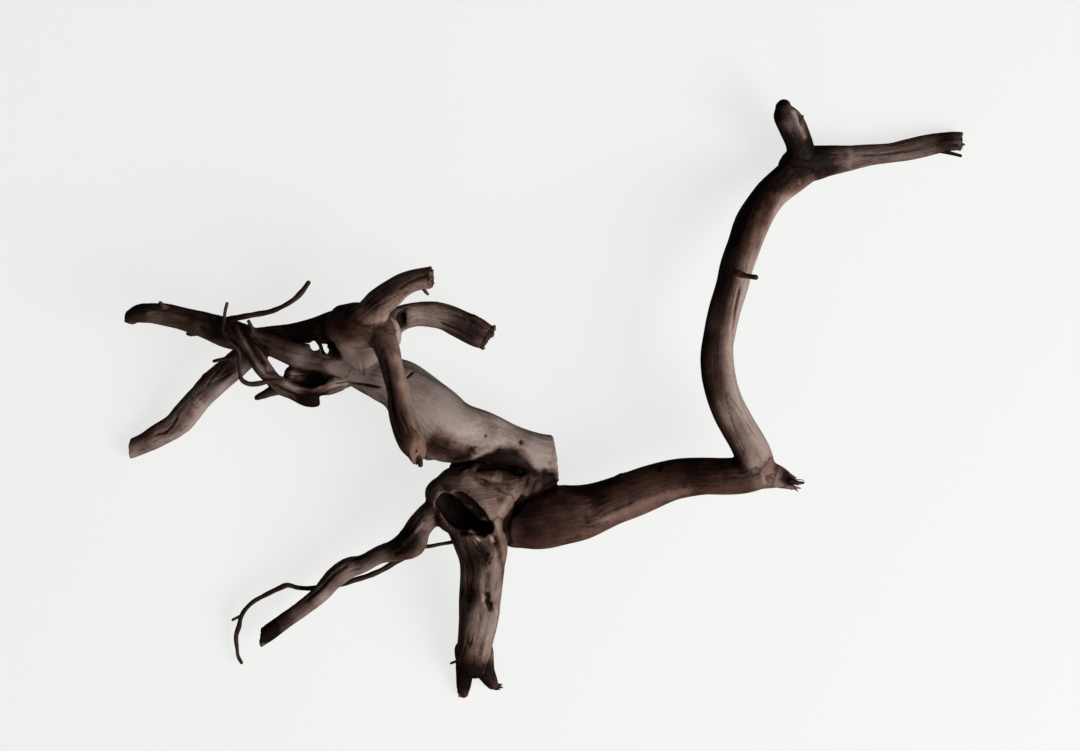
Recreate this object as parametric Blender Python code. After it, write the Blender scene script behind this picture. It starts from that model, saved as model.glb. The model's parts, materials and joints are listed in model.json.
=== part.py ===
"""A piece of moor root: the washed stump end of a bog tree with its roots cut short, lying on its side.

Metres, +Z up. The table that the root lies on is z = 0, X runs to the right and Y away along the table, and
the origin is under the middle of the bounding box. The tables below are in millimetres, in that frame.
"""

import math

import bmesh
import bpy
from mathutils import Vector

MM = 0.001

# A station is (x, y, height of the axis above the table, radius), all in millimetres.
# Each root runs from where it grows out of the wood to its free end.
HEAVY_ROOTS = {
    "trunk": [
        (-116, 20.5, 50, 10.2), (-101, 14.5, 51, 12.5), (-86, 8.5, 51, 16.4), (-71.5, -5.5, 50, 20.3),
        (-58, -16, 49, 20.6), (-38, -21, 47, 15.9), (-20.5, -26.5, 45, 11.9), (-5.5, -32.5, 43, 12.4),
        (6, -35, 42, 13.1),
    ],
    "trunk_lip": [
        (-70, -30, 46, 5.4), (-63.5, -30.5, 50, 4.2), (-54, -32, 53, 4.2), (-44.5, -31, 56, 3.6),
        (-35.5, -27.5, 57, 3.6), (-27.5, -25, 55, 3.3), (-19.5, -27, 51, 3),
    ],
    "left_root": [
        (-104, 15.5, 50, 12), (-117, 21, 50, 10.2), (-132, 24.5, 48.5, 8.7), (-147.5, 27, 47, 8.1),
        (-158, 30.5, 46, 7.2), (-168, 34.5, 45, 6.9), (-177.5, 37.5, 45, 7.8), (-186, 39.5, 45, 9),
        (-194.5, 42, 46, 9), (-202.5, 45, 47, 8), (-210.5, 47.5, 48, 7.2), (-219, 50, 48, 6.6),
        (-228, 52, 47, 6.5), (-237.5, 53, 45, 5.9), (-245, 52.5, 42, 5.4), (-250, 51, 39, 4.1),
    ],
    "left_strand": [
        (-191.5, 44.5, 50, 4.2), (-182.5, 37.5, 52, 4.5), (-175.5, 29.5, 50, 5), (-170.5, 21, 48, 5.5),
        (-165, 14, 46, 5), (-159, 8.5, 44, 5.2), (-152, 6, 43, 5.4), (-144, 3.5, 42, 6.6),
        (-137, 4, 42, 6.9),
    ],
    "cup_body": [
        (-151.5, 15, 42, 6.3), (-141, 11.5, 40, 7.8), (-131, 12, 42, 8.1), (-120, 16, 46, 8.1),
    ],
    "cup_rim": [
        (-167.5, 15.5, 50, 2.4), (-159, 12.5, 50, 2.7), (-151, 8.5, 50, 2.7), (-143.5, 6.5, 50, 2.7),
        (-135, 8, 51, 2.7), (-127, 11, 53, 2.7), (-119, 12.5, 54, 3),
    ],
    "snag": [
        (-153.5, 9, 44, 4.8), (-162, 7, 43, 3.5), (-169, 4, 41, 2.5), (-174, 2, 39, 1.8),
    ],
    "left_prop": [
        (-171, 32.5, 38, 7.2), (-180, 27.5, 36, 7.8), (-188, 21.5, 32, 7.9), (-196.5, 15, 28, 7.5),
        (-204, 9, 24.5, 7.2), (-212, 1.5, 20.5, 6.9), (-219, -6.5, 16.5, 7.2), (-227, -15, 12.5, 7.2),
        (-237, -21, 9, 7.1), (-246.5, -26, 6, 6.3), (-256, -30, 4.5, 6),
    ],
    "back_root": [
        (-116, 45.5, 50, 11.4), (-129.5, 43.5, 44, 9.3), (-142, 42, 40, 7.2), (-154, 40.5, 38, 6),
        (-166.5, 39.5, 38, 5.7), (-178, 38.5, 40, 5.4),
    ],
    "crown": [
        (-121, 45.5, 54, 11.3), (-112, 44.5, 61, 13.1), (-103, 42, 67, 10.9), (-95, 39, 70, 8.3),
    ],
    "crown_neck": [
        (-115.5, 42.5, 58, 10.7), (-114.5, 31.5, 55, 9.5), (-108.5, 23.5, 53, 10.1),
    ],
    "upper_branch": [
        (-109, 45, 64, 11.3), (-102.5, 51.5, 70, 10), (-97.5, 58, 76, 8.5), (-90.5, 63, 82, 7.9),
        (-84, 67.5, 88, 6.8), (-76, 70.5, 94, 6.2), (-66, 72, 99, 6.1),
    ],
    "side_branch": [
        (-104.5, 45, 56, 9.5), (-94, 47, 54, 9.2), (-86, 50, 53, 7.5), (-78, 52, 52, 7.3),
        (-69.5, 52, 50, 7.8), (-60.5, 50, 47, 8.1), (-53, 46.5, 43.5, 8.7), (-45, 43, 40, 9),
        (-39, 40, 37, 8.4), (-34.5, 38.5, 35, 6.9),
    ],
    "front_branch": [
        (-99, 42, 68, 8.9), (-96, 36, 72, 8.2), (-92.5, 27.5, 78, 7.6), (-90, 18.5, 84, 7),
        (-86.5, 6.5, 90, 6.8), (-84.5, -5, 96, 7.1), (-81, -14.5, 101, 7.7), (-77.5, -22.5, 106, 7.5),
        (-73, -29.5, 110, 5.5),
    ],
    "lower_hub": [
        (-49.5, -60, 46, 20.4), (-44, -60, 48, 20.4), (-34.5, -58, 44, 17.7),
    ],
    "hub_web": [
        (-36.5, -53, 48, 14.4), (-22.5, -52, 46, 10.8), (-10.5, -48.5, 44, 8.4), (1.5, -44, 42, 7.8),
    ],
    "hub_tongue": [
        (-41.5, -41, 57, 4.2), (-36, -42, 60, 4.8), (-31.5, -44, 60.5, 5), (-27.5, -46.5, 58.5, 4.2),
    ],
    "hub_rim": [
        (-47.5, -43.5, 54, 5.4), (-40, -55, 57, 7.1), (-35, -66, 56, 7.1), (-31, -77, 52, 6.3),
        (-28, -88, 46, 5.4), (-29.5, -101.5, 39, 4.8),
    ],
    "web_rim": [
        (-9.5, -44.5, 50, 4.2), (-15.5, -54.5, 48, 4.2), (-22.5, -63, 46, 4.2), (-27, -73.5, 46, 4.2),
    ],
    "leg": [
        (-45, -68, 48, 17.4), (-40.5, -83.5, 44, 15), (-38, -95.5, 39, 13.6), (-38, -108, 34, 12.6),
        (-39, -120.5, 29, 12.1), (-40.5, -133, 24, 11.6), (-42.5, -146, 19, 10.7),
        (-44, -155.5, 15.5, 10.1), (-43.5, -162.5, 12.5, 8),
    ],
    "leg_prong_left": [
        (-48.5, -153.5, 14, 7.3), (-49.5, -165, 9.5, 5.5), (-50.5, -174.5, 4.5, 4.7),
        (-51, -180, 2, 3.6),
    ],
    "leg_prong_right": [
        (-39.5, -153.5, 14, 7.3), (-37.5, -164.5, 9.5, 6), (-34.5, -171, 7.5, 4.6), (-32, -175, 6, 3.4),
        (-29, -177, 5, 1.5),
    ],
    "lower_root": [
        (-61, -58, 46, 13.5), (-65, -65, 46, 9.9), (-71, -69, 45, 8.1), (-77, -76, 43, 8.1),
        (-81.5, -84.5, 41, 9.6), (-91, -90, 37, 6.6), (-101, -93.5, 33, 5.2), (-111, -99, 29, 5.3),
        (-119, -101.5, 27, 6.3), (-127, -107, 25, 6.2), (-131.5, -111.5, 24, 5.5),
        (-138, -118.5, 22, 5.1), (-148, -126.5, 20, 4.9), (-159, -134.5, 18, 4.9),
        (-168.5, -141.5, 16, 5.1), (-174.5, -145.5, 15, 5),
    ],
    "lower_arm": [
        (-17, -72, 34, 16.9), (-6, -71, 34, 18.7), (6, -69, 34, 19), (19, -67.5, 35, 17.5),
        (32.5, -64, 36, 15.2), (47.5, -58.5, 39, 13.9), (62.5, -52.5, 42, 13.1),
        (77.5, -47.5, 45, 11.8), (92.5, -45.5, 48, 10.5), (107, -45, 50, 10.3), (119, -44, 51, 10.5),
        (128, -41, 51, 11.1),
    ],
    "upper_arm": [
        (126, -40, 51, 11.1), (121.5, -27.5, 54, 10.7), (114.5, -15.5, 58, 10), (108.5, -4.5, 61, 9.6),
        (104.5, 6, 63, 9.5), (102, 17.5, 64, 9.3), (101.5, 30, 63.5, 9.2), (103.5, 42.5, 61, 9.3),
        (107, 55.5, 57, 9.5), (111, 68, 53, 10), (114, 79.5, 48, 10.3), (118.5, 92, 43, 10.7),
        (123, 104.5, 37, 11), (129, 116, 31, 10.5), (137, 126, 25, 10.2), (147.5, 135, 20, 10.2),
        (157.5, 143, 16, 10.4),
    ],
    "elbow_stub": [
        (129.5, -43, 50, 9), (138, -45, 48, 6.9), (144, -47.5, 46, 5.1), (149, -49.5, 44, 3.9),
    ],
    "fork_right": [
        (153, 143, 17, 11), (165, 146, 14.5, 10.1), (175.5, 148, 12.5, 8.6), (186.5, 149, 11, 7.5),
        (199, 151, 9.5, 6.3), (211.5, 152.5, 8.5, 6), (224, 155, 7.5, 6.3), (236.5, 157.5, 6.5, 6.3),
        (247.5, 159.5, 5.5, 5.9), (256, 160, 4.5, 5.7),
    ],
    "fork_stub": [
        (157, 148.5, 18, 9.2), (154, 157.5, 24, 8.4), (149, 166, 31, 8.5), (144.5, 172.5, 36, 7.2),
        (143, 177, 39, 4.8),
    ],
    "strap": [
        (-45.5, -37.5, 48, 3), (-37.5, -34, 53, 4.2), (-28.5, -32.5, 55, 4.8), (-20, -33.5, 54, 4.5),
        (-12.5, -37, 51, 3.6), (-5.5, -42, 47, 2.7),
    ],
    "cleft_floor": [
        (-52, -41.5, 34, 6.6), (-36.5, -41.5, 36, 7.8), (-21.5, -41.5, 36, 7.8), (-8.5, -42, 36, 7.2),
    ],
    "pale_knob": [
        (-98, 47, 62, 5.3), (-93, 44.5, 62, 5.6), (-90.5, 40, 58, 4.5), (-89.5, 35.5, 54, 3),
    ],
    "end_flake": [
        (-50.5, 47.5, 46, 3.6), (-44.5, 49.5, 46, 3), (-38.5, 45.5, 44, 3), (-33.5, 41, 40, 2.7),
    ],
}

# Thin rootlets, spurs and splinters, joined on after the heavy wood is reduced.
ROOTLETS = {
    "lower_rootlet": [
        (-85.5, -93.5, 34, 2.4), (-97.5, -101.5, 30, 1.8), (-107, -106, 27, 1.8), (-116, -109, 24, 1.6),
        (-124.5, -112, 20, 1.6), (-135, -114, 16, 1.5), (-144.5, -115, 14, 1.5),
        (-152, -114.5, 14, 1.5), (-158, -113, 14, 1.6), (-163.5, -115, 14, 1.5),
        (-171.5, -119, 13, 1.4), (-179.5, -123.5, 11, 1.3), (-185, -129, 10, 1.4),
        (-187.5, -134, 9, 1.4), (-188.5, -138.5, 8, 1.4), (-190.5, -145, 7, 1.3),
        (-190, -152.5, 6, 1.2), (-189.5, -157.5, 5, 1.2), (-187.5, -161.5, 4.5, 1.1),
    ],
    "bridge_rootlet": [
        (-79.5, -87.5, 38, 2.1), (-71, -87.5, 40, 1.4), (-63.5, -86, 42, 1.2), (-55.5, -84.5, 44, 1.2),
        (-49.5, -83, 46, 1.3), (-43, -80.5, 50, 1.4),
    ],
    "swept_rootlet": [
        (-198.5, 45.5, 50, 2.4), (-188.5, 48.5, 57, 2.1), (-181, 50, 61, 1.8), (-172, 51.5, 65, 1.7),
        (-163, 53, 69, 1.5), (-155, 56, 73, 1.6), (-148, 60, 77, 1.6), (-143, 64.5, 80, 1.6),
        (-139, 69.5, 83, 1.5),
    ],
    "looped_rootlet": [
        (-188.5, 58.5, 66, 0.9), (-190, 53.5, 64, 1.1), (-191, 48, 62, 1.2), (-192.5, 42.5, 60, 1.2),
        (-190.5, 37.5, 59, 1.2), (-186.5, 33.5, 58, 1.2), (-183, 30, 57, 1.2), (-182.5, 23.5, 55, 1.3),
        (-182.5, 17.5, 54, 1.3), (-181.5, 13, 53.5, 1.4), (-177.5, 10.5, 53, 1.4),
        (-172, 10.5, 53, 1.4), (-164.5, 12, 53, 1.4), (-158, 12, 52, 1.6),
    ],
    "trunk_rootlet": [
        (-127, 13, 54, 1.8), (-119.5, 12.5, 55, 1.3), (-110.5, 10, 56, 1.2), (-99, 9, 56, 1.2),
    ],
    "prop_spur": [
        (-189, 26, 40, 1.9), (-195, 25, 41, 1.3), (-199.5, 24, 42, 1),
    ],
    "strand_spike": [
        (-174.5, 38, 47, 1.8), (-175, 43, 55, 1.4), (-176.5, 47.5, 60, 1.1),
    ],
    "gap_strand": [
        (-138, 37.5, 46, 1.4), (-135, 33.5, 48, 1.1), (-134, 30, 48, 1.1), (-131.5, 26.5, 47, 1.4),
    ],
    "left_hook": [
        (-246, 50, 40, 2.4), (-249.5, 47.5, 37, 1.6), (-253.5, 48.5, 35, 1.1),
    ],
    "arm_twig": [
        (113.5, 76, 60, 2.7), (118.5, 74.5, 64, 1.8), (124, 73.5, 67, 1.6),
    ],
    "fork_splinter": [
        (239, 154, 7, 1.6), (247.5, 152.5, 7.5, 1.2), (255, 150.5, 8.5, 1),
    ],
    "left_chip": [
        (-226, 54.5, 49, 2.4), (-228.5, 57, 53, 1.6), (-230, 59, 54, 0.9),
    ],
    "branch_nub": [
        (-74, -30.5, 107, 2.1), (-72.5, -33.5, 110, 1.7), (-72, -36, 111, 1.3),
    ],
    "branch_bristle": [
        (-70.5, 69.5, 98, 2), (-70.5, 65, 98, 1.2), (-68.5, 62.5, 97, 0.8),
    ],
    "elbow_bristle": [
        (145, -47.5, 46, 2.4), (150.5, -49, 45, 1.3), (154.5, -49, 45, 0.8),
    ],
    "leg_hair": [
        (-52.5, -159.5, 13, 1.5), (-55.5, -160, 13, 0.9), (-58, -161, 13, 0.7),
    ],
    "rootlet_spur": [
        (-187.5, -132.5, 9, 1.3), (-190, -133.5, 9.5, 1), (-192, -134.5, 10, 1),
    ],
    "stub_spike": [
        (152.5, 164, 34, 1.8), (154, 167.5, 38, 1.3), (154.5, 171.5, 41, 0.7),
    ],
    "chip_below": [
        (-210, 42.5, 44, 3.3), (-214, 40.5, 43, 1.8), (-215.5, 40.5, 42, 1),
    ],
    "crown_spur": [
        (-116, 50.5, 62, 4.2), (-121.5, 56, 60, 1.5),
    ],
}

# Hollows worn or rotted into the wood, each a short tube with round ends that is cut away.
HOLLOWS = {
    "hub_hollow": [
        (-62.5, -56.5, 66, 6.8), (-56.5, -61.5, 65, 10.1), (-50.5, -67.5, 64, 11.6),
        (-42.5, -72, 62, 9.5), (-37, -75, 59, 5.9),
    ],
    "hub_depth": [
        (-59.5, -60.5, 54, 7.2), (-53, -67, 49, 9.6), (-45, -72, 48, 8.4), (-38, -74.5, 51, 6),
    ],
    "hub_notch": [
        (-34, -73, 60, 3), (-35, -77, 54, 3.6), (-39.5, -80, 52, 2.4),
    ],
    "leg_pit": [
        (-36.5, -88.5, 62, 2.7), (-37, -90, 56, 3.3), (-37.5, -91, 53, 3),
    ],
    "cleft_depth": [
        (-50, -40, 56, 2.4), (-40.5, -40, 52, 2.7), (-31, -39, 50, 2.7), (-22.5, -40, 50, 2.7),
        (-15, -42.5, 50, 2.4),
    ],
    "arm_crevice": [
        (-10.5, -55.5, 54, 1.8), (-16.5, -62.5, 50, 2.4), (-22, -71, 47, 2.7), (-24, -81.5, 44, 2.1),
    ],
    "end_pit": [
        (-3, -46.5, 55, 3), (2.5, -47.5, 51, 3.9), (8, -48, 49, 3.6),
    ],
    "narrow_gap_bar": [
        (-137.5, 32.5, 60, 1.5), (-135.5, 32, 46, 1.7), (-134, 31.5, 30, 1.6),
    ],
    "cup": [
        (-144, 14.5, 54, 3.3), (-139.5, 14, 52, 4.5), (-134, 13, 53, 3.9),
    ],
    "hub_cleft": [
        (-57.5, -37.5, 70, 2.4), (-51, -39, 64, 2.7), (-40, -38.5, 62, 2.7), (-31, -37.5, 61, 3),
        (-22.5, -38.5, 60, 3), (-15.5, -41.5, 57, 2.7), (-9, -44.5, 54, 2.4),
    ],
    "leg_knot": [
        (-35.5, -117.5, 42, 1.1), (-35, -119.5, 40, 1.9), (-34, -123.5, 38, 1.9),
        (-34.5, -126.5, 38, 1.2),
    ],
    "leg_notch": [
        (-26, -134, 28, 2.7), (-29.5, -136.5, 25, 2.4), (-29.5, -140, 24, 1.8),
    ],
    "stub_pit": [
        (140.5, -43, 64, 2.1), (142, -45, 54, 2.3), (143, -46.5, 50, 1.8),
    ],
    "crown_crack": [
        (-84, 58, 66, 2.4), (-85.5, 53.5, 62, 2.7), (-86, 48, 60, 3), (-84.5, 43.5, 58, 2.4),
    ],
    "narrow_gap": [
        (-136.5, 32.5, 70, 2.8), (-138.5, 33, 46, 3.1), (-141, 33.5, 20, 2.9),
    ],
    "narrow_gap_right": [
        (-130.5, 30.5, 70, 2.5), (-132.5, 31, 46, 2.8), (-135, 31.5, 20, 2.6),
    ],
}

# The way each saw cut or break faces, for the ends that aren't cut square across.
SAW_CUTS = {
    "trunk": (0.985, 0.16, -0.05),
    "front_branch": (0.6, -0.25, 0.75),
    "upper_branch": (1, 0, 0.15),
    "side_branch": (0.85, -0.5, 0),
    "left_prop": (-1, 0, 0),
    "fork_right": (1, 0, 0),
}
ROUND_ENDS = (
    "left_root", "lower_hub", "elbow_stub", "lower_root", "trunk_lip", "pale_knob", "end_flake", "snag",
    "fork_stub", "leg", "leg_prong_left",
)

HEAVY_SIDES = 18
ROOTLET_SIDES = 6
HEAVY_STEP = 4.0
ROOTLET_STEP = 6.0
HOLLOW_SIDES = 12
HOLLOW_STEP = 3.0
THINNEST = 0.5
# How many lobes a root has round it, how high they are, and how far they turn from ring to ring.
LOBES = ((2, 0.05), (3, 0.04), (5, 0.015))
LOBE_TWIST = 0.12
PHASES = 17
# The dome of a round end: how far out and how wide each ring is, in radii.
DOME = ((0.45, 0.89), (0.8, 0.6), (0.96, 0.28))
# A root that climbs more steeply than this takes its first sideways direction from X.
STEEP = 0.9
VOXEL = 1.5 * MM
SMOOTHING = 0.5
SMOOTHING_ROUNDS = 6
HEAVY_TRIANGLES = 7000
GROUND_SIZE = (0.7, 0.6, 0.05)
WOOD_COLOUR = (0.19, 0.125, 0.095, 1.0)
WOOD_ROUGHNESS = 0.62


def clear_scene():
    for obj in list(bpy.data.objects):
        bpy.data.objects.remove(obj, do_unlink=True)


def wood_material():
    material = bpy.data.materials.new("moor_wood")
    material.use_nodes = True
    shader = material.node_tree.nodes["Principled BSDF"]
    shader.inputs["Base Color"].default_value = WOOD_COLOUR
    shader.inputs["Roughness"].default_value = WOOD_ROUGHNESS
    shader.inputs["Metallic"].default_value = 0.0
    return material


def smooth_path(stations, step):
    """Points and radii every step millimetres or so along one smooth curve through the stations."""
    values = [Vector(s) for s in stations]
    values = [2 * values[0] - values[1], *values, 2 * values[-1] - values[-2]]
    path = []
    for before, here, there, after in zip(values, values[1:], values[2:], values[3:]):
        pieces = max(1, round((there - here).xyz.length / step))
        for i in range(pieces):
            t = i / pieces
            bend = (2 * before - 5 * here + 4 * there - after) * t * t
            turn = (3 * here - before - 3 * there + after) * t * t * t
            path.append(here + ((there - before) * t + bend + turn) / 2)
    path.append(values[-2])
    return [(p.xyz * MM, max(p.w, THINNEST) * MM) for p in path]


def rings_along(path, sides, lobes, phase):
    """A ring of points at each place on the path, its radius varied round it as a root's is."""
    points = [p for p, _ in path]
    side = None
    rings = []
    for i, (centre, radius) in enumerate(path):
        tangent = (points[min(i + 1, len(points) - 1)] - points[max(i - 1, 0)]).normalized()
        if side is None:
            side = tangent.cross(Vector((0, 0, 1)) if abs(tangent.z) < STEEP else Vector((1, 0, 0)))
        side = (side - tangent * side.dot(tangent)).normalized()
        up = tangent.cross(side)
        ring = []
        for k in range(sides):
            angle = math.tau * k / sides
            turned = phase + i * LOBE_TWIST
            swell = 1 + sum(
                size * math.sin(count * (angle + phase) + turned) for count, size in lobes
            )
            ring.append(centre + (side * math.cos(angle) + up * math.sin(angle)) * radius * swell)
        rings.append((ring, tangent))
    return rings


def rounded_end(path):
    """The path with its last stretch drawn in to a dome."""
    (centre, radius), (before, _) = path[-1], path[-2]
    ahead = (centre - before).normalized()
    return path + [(centre + ahead * radius * out, radius * wide) for out, wide in DOME]


def loft(bm, path, sides, lobes=(), phase=0.0, saw_cut=None):
    """One closed tube of rings along the path. A saw cut slides the last ring onto its plane."""
    rings = rings_along(path, sides, lobes, phase)
    last, tangent = rings[-1]
    if saw_cut:
        facing = Vector(saw_cut).normalized()
        centre = path[-1][0]
        last[:] = [p + tangent * ((centre - p).dot(facing) / tangent.dot(facing)) for p in last]
    loops = [[bm.verts.new(p) for p in ring] for ring, _ in rings]
    for lower, upper in zip(loops, loops[1:]):
        for k in range(sides):
            n = (k + 1) % sides
            bm.faces.new((lower[k], lower[n], upper[n], upper[k]))
    bm.faces.new(reversed(loops[0]))
    bm.faces.new(loops[-1])


def add_object(name, bm, collection=None):
    bmesh.ops.recalc_face_normals(bm, faces=bm.faces)
    mesh = bpy.data.meshes.new(name)
    bm.to_mesh(mesh)
    bm.free()
    obj = bpy.data.objects.new(name, mesh)
    (collection or bpy.context.scene.collection).objects.link(obj)
    return obj


def apply_modifiers(obj):
    graph = bpy.context.evaluated_depsgraph_get()
    mesh = bpy.data.meshes.new_from_object(obj.evaluated_get(graph))
    obj.modifiers.clear()
    obj.data = mesh


def heavy_wood():
    """The thick roots as overlapping tubes in one mesh."""
    bm = bmesh.new()
    for name, stations in HEAVY_ROOTS.items():
        path = smooth_path(stations, HEAVY_STEP)
        path = rounded_end(path[::-1])[::-1]
        if name in ROUND_ENDS:
            path = rounded_end(path)
        phase = sum(map(ord, name)) % PHASES
        loft(bm, path, HEAVY_SIDES, LOBES, phase, SAW_CUTS.get(name))
    return add_object("moor_root", bm)


def cutters():
    """The hollows as closed tubes with round ends."""
    group = bpy.data.collections.new("hollows")
    bpy.context.scene.collection.children.link(group)
    for name, stations in HOLLOWS.items():
        bm = bmesh.new()
        loft(bm, rounded_end(rounded_end(smooth_path(stations, HOLLOW_STEP)[::-1])[::-1]), HOLLOW_SIDES)
        cutter = add_object(name, bm, group)
        cutter.hide_render = True
        cutter.display_type = "WIRE"
    return group


def rootlets():
    group = bpy.data.collections.new("rootlets")
    bpy.context.scene.collection.children.link(group)
    for name, stations in ROOTLETS.items():
        bm = bmesh.new()
        loft(bm, rounded_end(smooth_path(stations, ROOTLET_STEP)), ROOTLET_SIDES)
        add_object(name, bm, group)
    return group


def boolean(obj, name, operation, group=None, other=None, solver="MANIFOLD"):
    modifier = obj.modifiers.new(name, "BOOLEAN")
    modifier.operation = operation
    modifier.solver = solver
    if group:
        modifier.operand_type = "COLLECTION"
        modifier.collection = group
    else:
        modifier.object = other
    return modifier


def ground():
    """A block under the table top. What it cuts off leaves the flat spots that the root rests on."""
    bm = bmesh.new()
    bmesh.ops.create_cube(bm, size=1.0)
    bmesh.ops.scale(bm, vec=GROUND_SIZE, verts=bm.verts)
    bmesh.ops.translate(bm, vec=(0, 0, -GROUND_SIZE[2] / 2), verts=bm.verts)
    block = add_object("ground", bm)
    block.hide_render = True
    block.display_type = "WIRE"
    return block


def drop(group):
    for obj in list(group.objects):
        bpy.data.objects.remove(obj, do_unlink=True)
    bpy.data.collections.remove(group)


def build():
    clear_scene()
    root = heavy_wood()
    remesh = root.modifiers.new("grow_together", "REMESH")
    remesh.mode = "VOXEL"
    remesh.voxel_size = VOXEL
    apply_modifiers(root)
    hollows = cutters()
    boolean(root, "hollows", "DIFFERENCE", group=hollows)
    apply_modifiers(root)
    drop(hollows)
    remesh = root.modifiers.new("even_out", "REMESH")
    remesh.mode = "VOXEL"
    remesh.voxel_size = VOXEL
    smooth = root.modifiers.new("soften", "SMOOTH")
    smooth.factor = SMOOTHING
    smooth.iterations = SMOOTHING_ROUNDS
    apply_modifiers(root)
    reduce = root.modifiers.new("reduce", "DECIMATE")
    reduce.ratio = HEAVY_TRIANGLES / (2 * len(root.data.polygons))
    reduce.use_collapse_triangulate = True
    apply_modifiers(root)
    thin = rootlets()
    boolean(root, "rootlets", "UNION", group=thin)
    apply_modifiers(root)
    drop(thin)
    block = ground()
    boolean(root, "rest_flat", "DIFFERENCE", other=block)
    apply_modifiers(root)
    bpy.data.objects.remove(block, do_unlink=True)
    root.data.materials.clear()
    root.data.materials.append(wood_material())


build()
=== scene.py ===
"""The looks of a piece of moor root that lies on a pale table, seen from straight above.

Metres in the scene, millimetres in the tables and in the mesh code. The table top is z = 0, X runs to the
right and Y up the picture.
"""

import itertools
import json
import math
import random

import bmesh
import bpy
import numpy as np
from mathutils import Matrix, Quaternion, Vector

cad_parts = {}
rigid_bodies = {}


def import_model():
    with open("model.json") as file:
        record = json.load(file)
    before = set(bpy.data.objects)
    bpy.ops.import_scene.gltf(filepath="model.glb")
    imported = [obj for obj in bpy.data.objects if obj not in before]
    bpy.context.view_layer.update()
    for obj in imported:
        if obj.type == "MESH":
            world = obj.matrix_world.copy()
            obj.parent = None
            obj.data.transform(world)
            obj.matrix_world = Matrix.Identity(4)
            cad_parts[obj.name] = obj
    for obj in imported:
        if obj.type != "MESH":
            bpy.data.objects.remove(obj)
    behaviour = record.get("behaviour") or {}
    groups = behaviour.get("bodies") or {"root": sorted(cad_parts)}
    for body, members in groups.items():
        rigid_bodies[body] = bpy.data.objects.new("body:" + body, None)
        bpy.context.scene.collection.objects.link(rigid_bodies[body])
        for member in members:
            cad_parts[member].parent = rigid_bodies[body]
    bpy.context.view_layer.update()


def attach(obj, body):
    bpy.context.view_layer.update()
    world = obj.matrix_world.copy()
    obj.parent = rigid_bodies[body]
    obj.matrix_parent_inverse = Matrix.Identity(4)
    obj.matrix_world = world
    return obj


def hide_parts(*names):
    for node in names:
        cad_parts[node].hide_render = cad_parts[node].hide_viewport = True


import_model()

MM = 0.001

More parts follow.
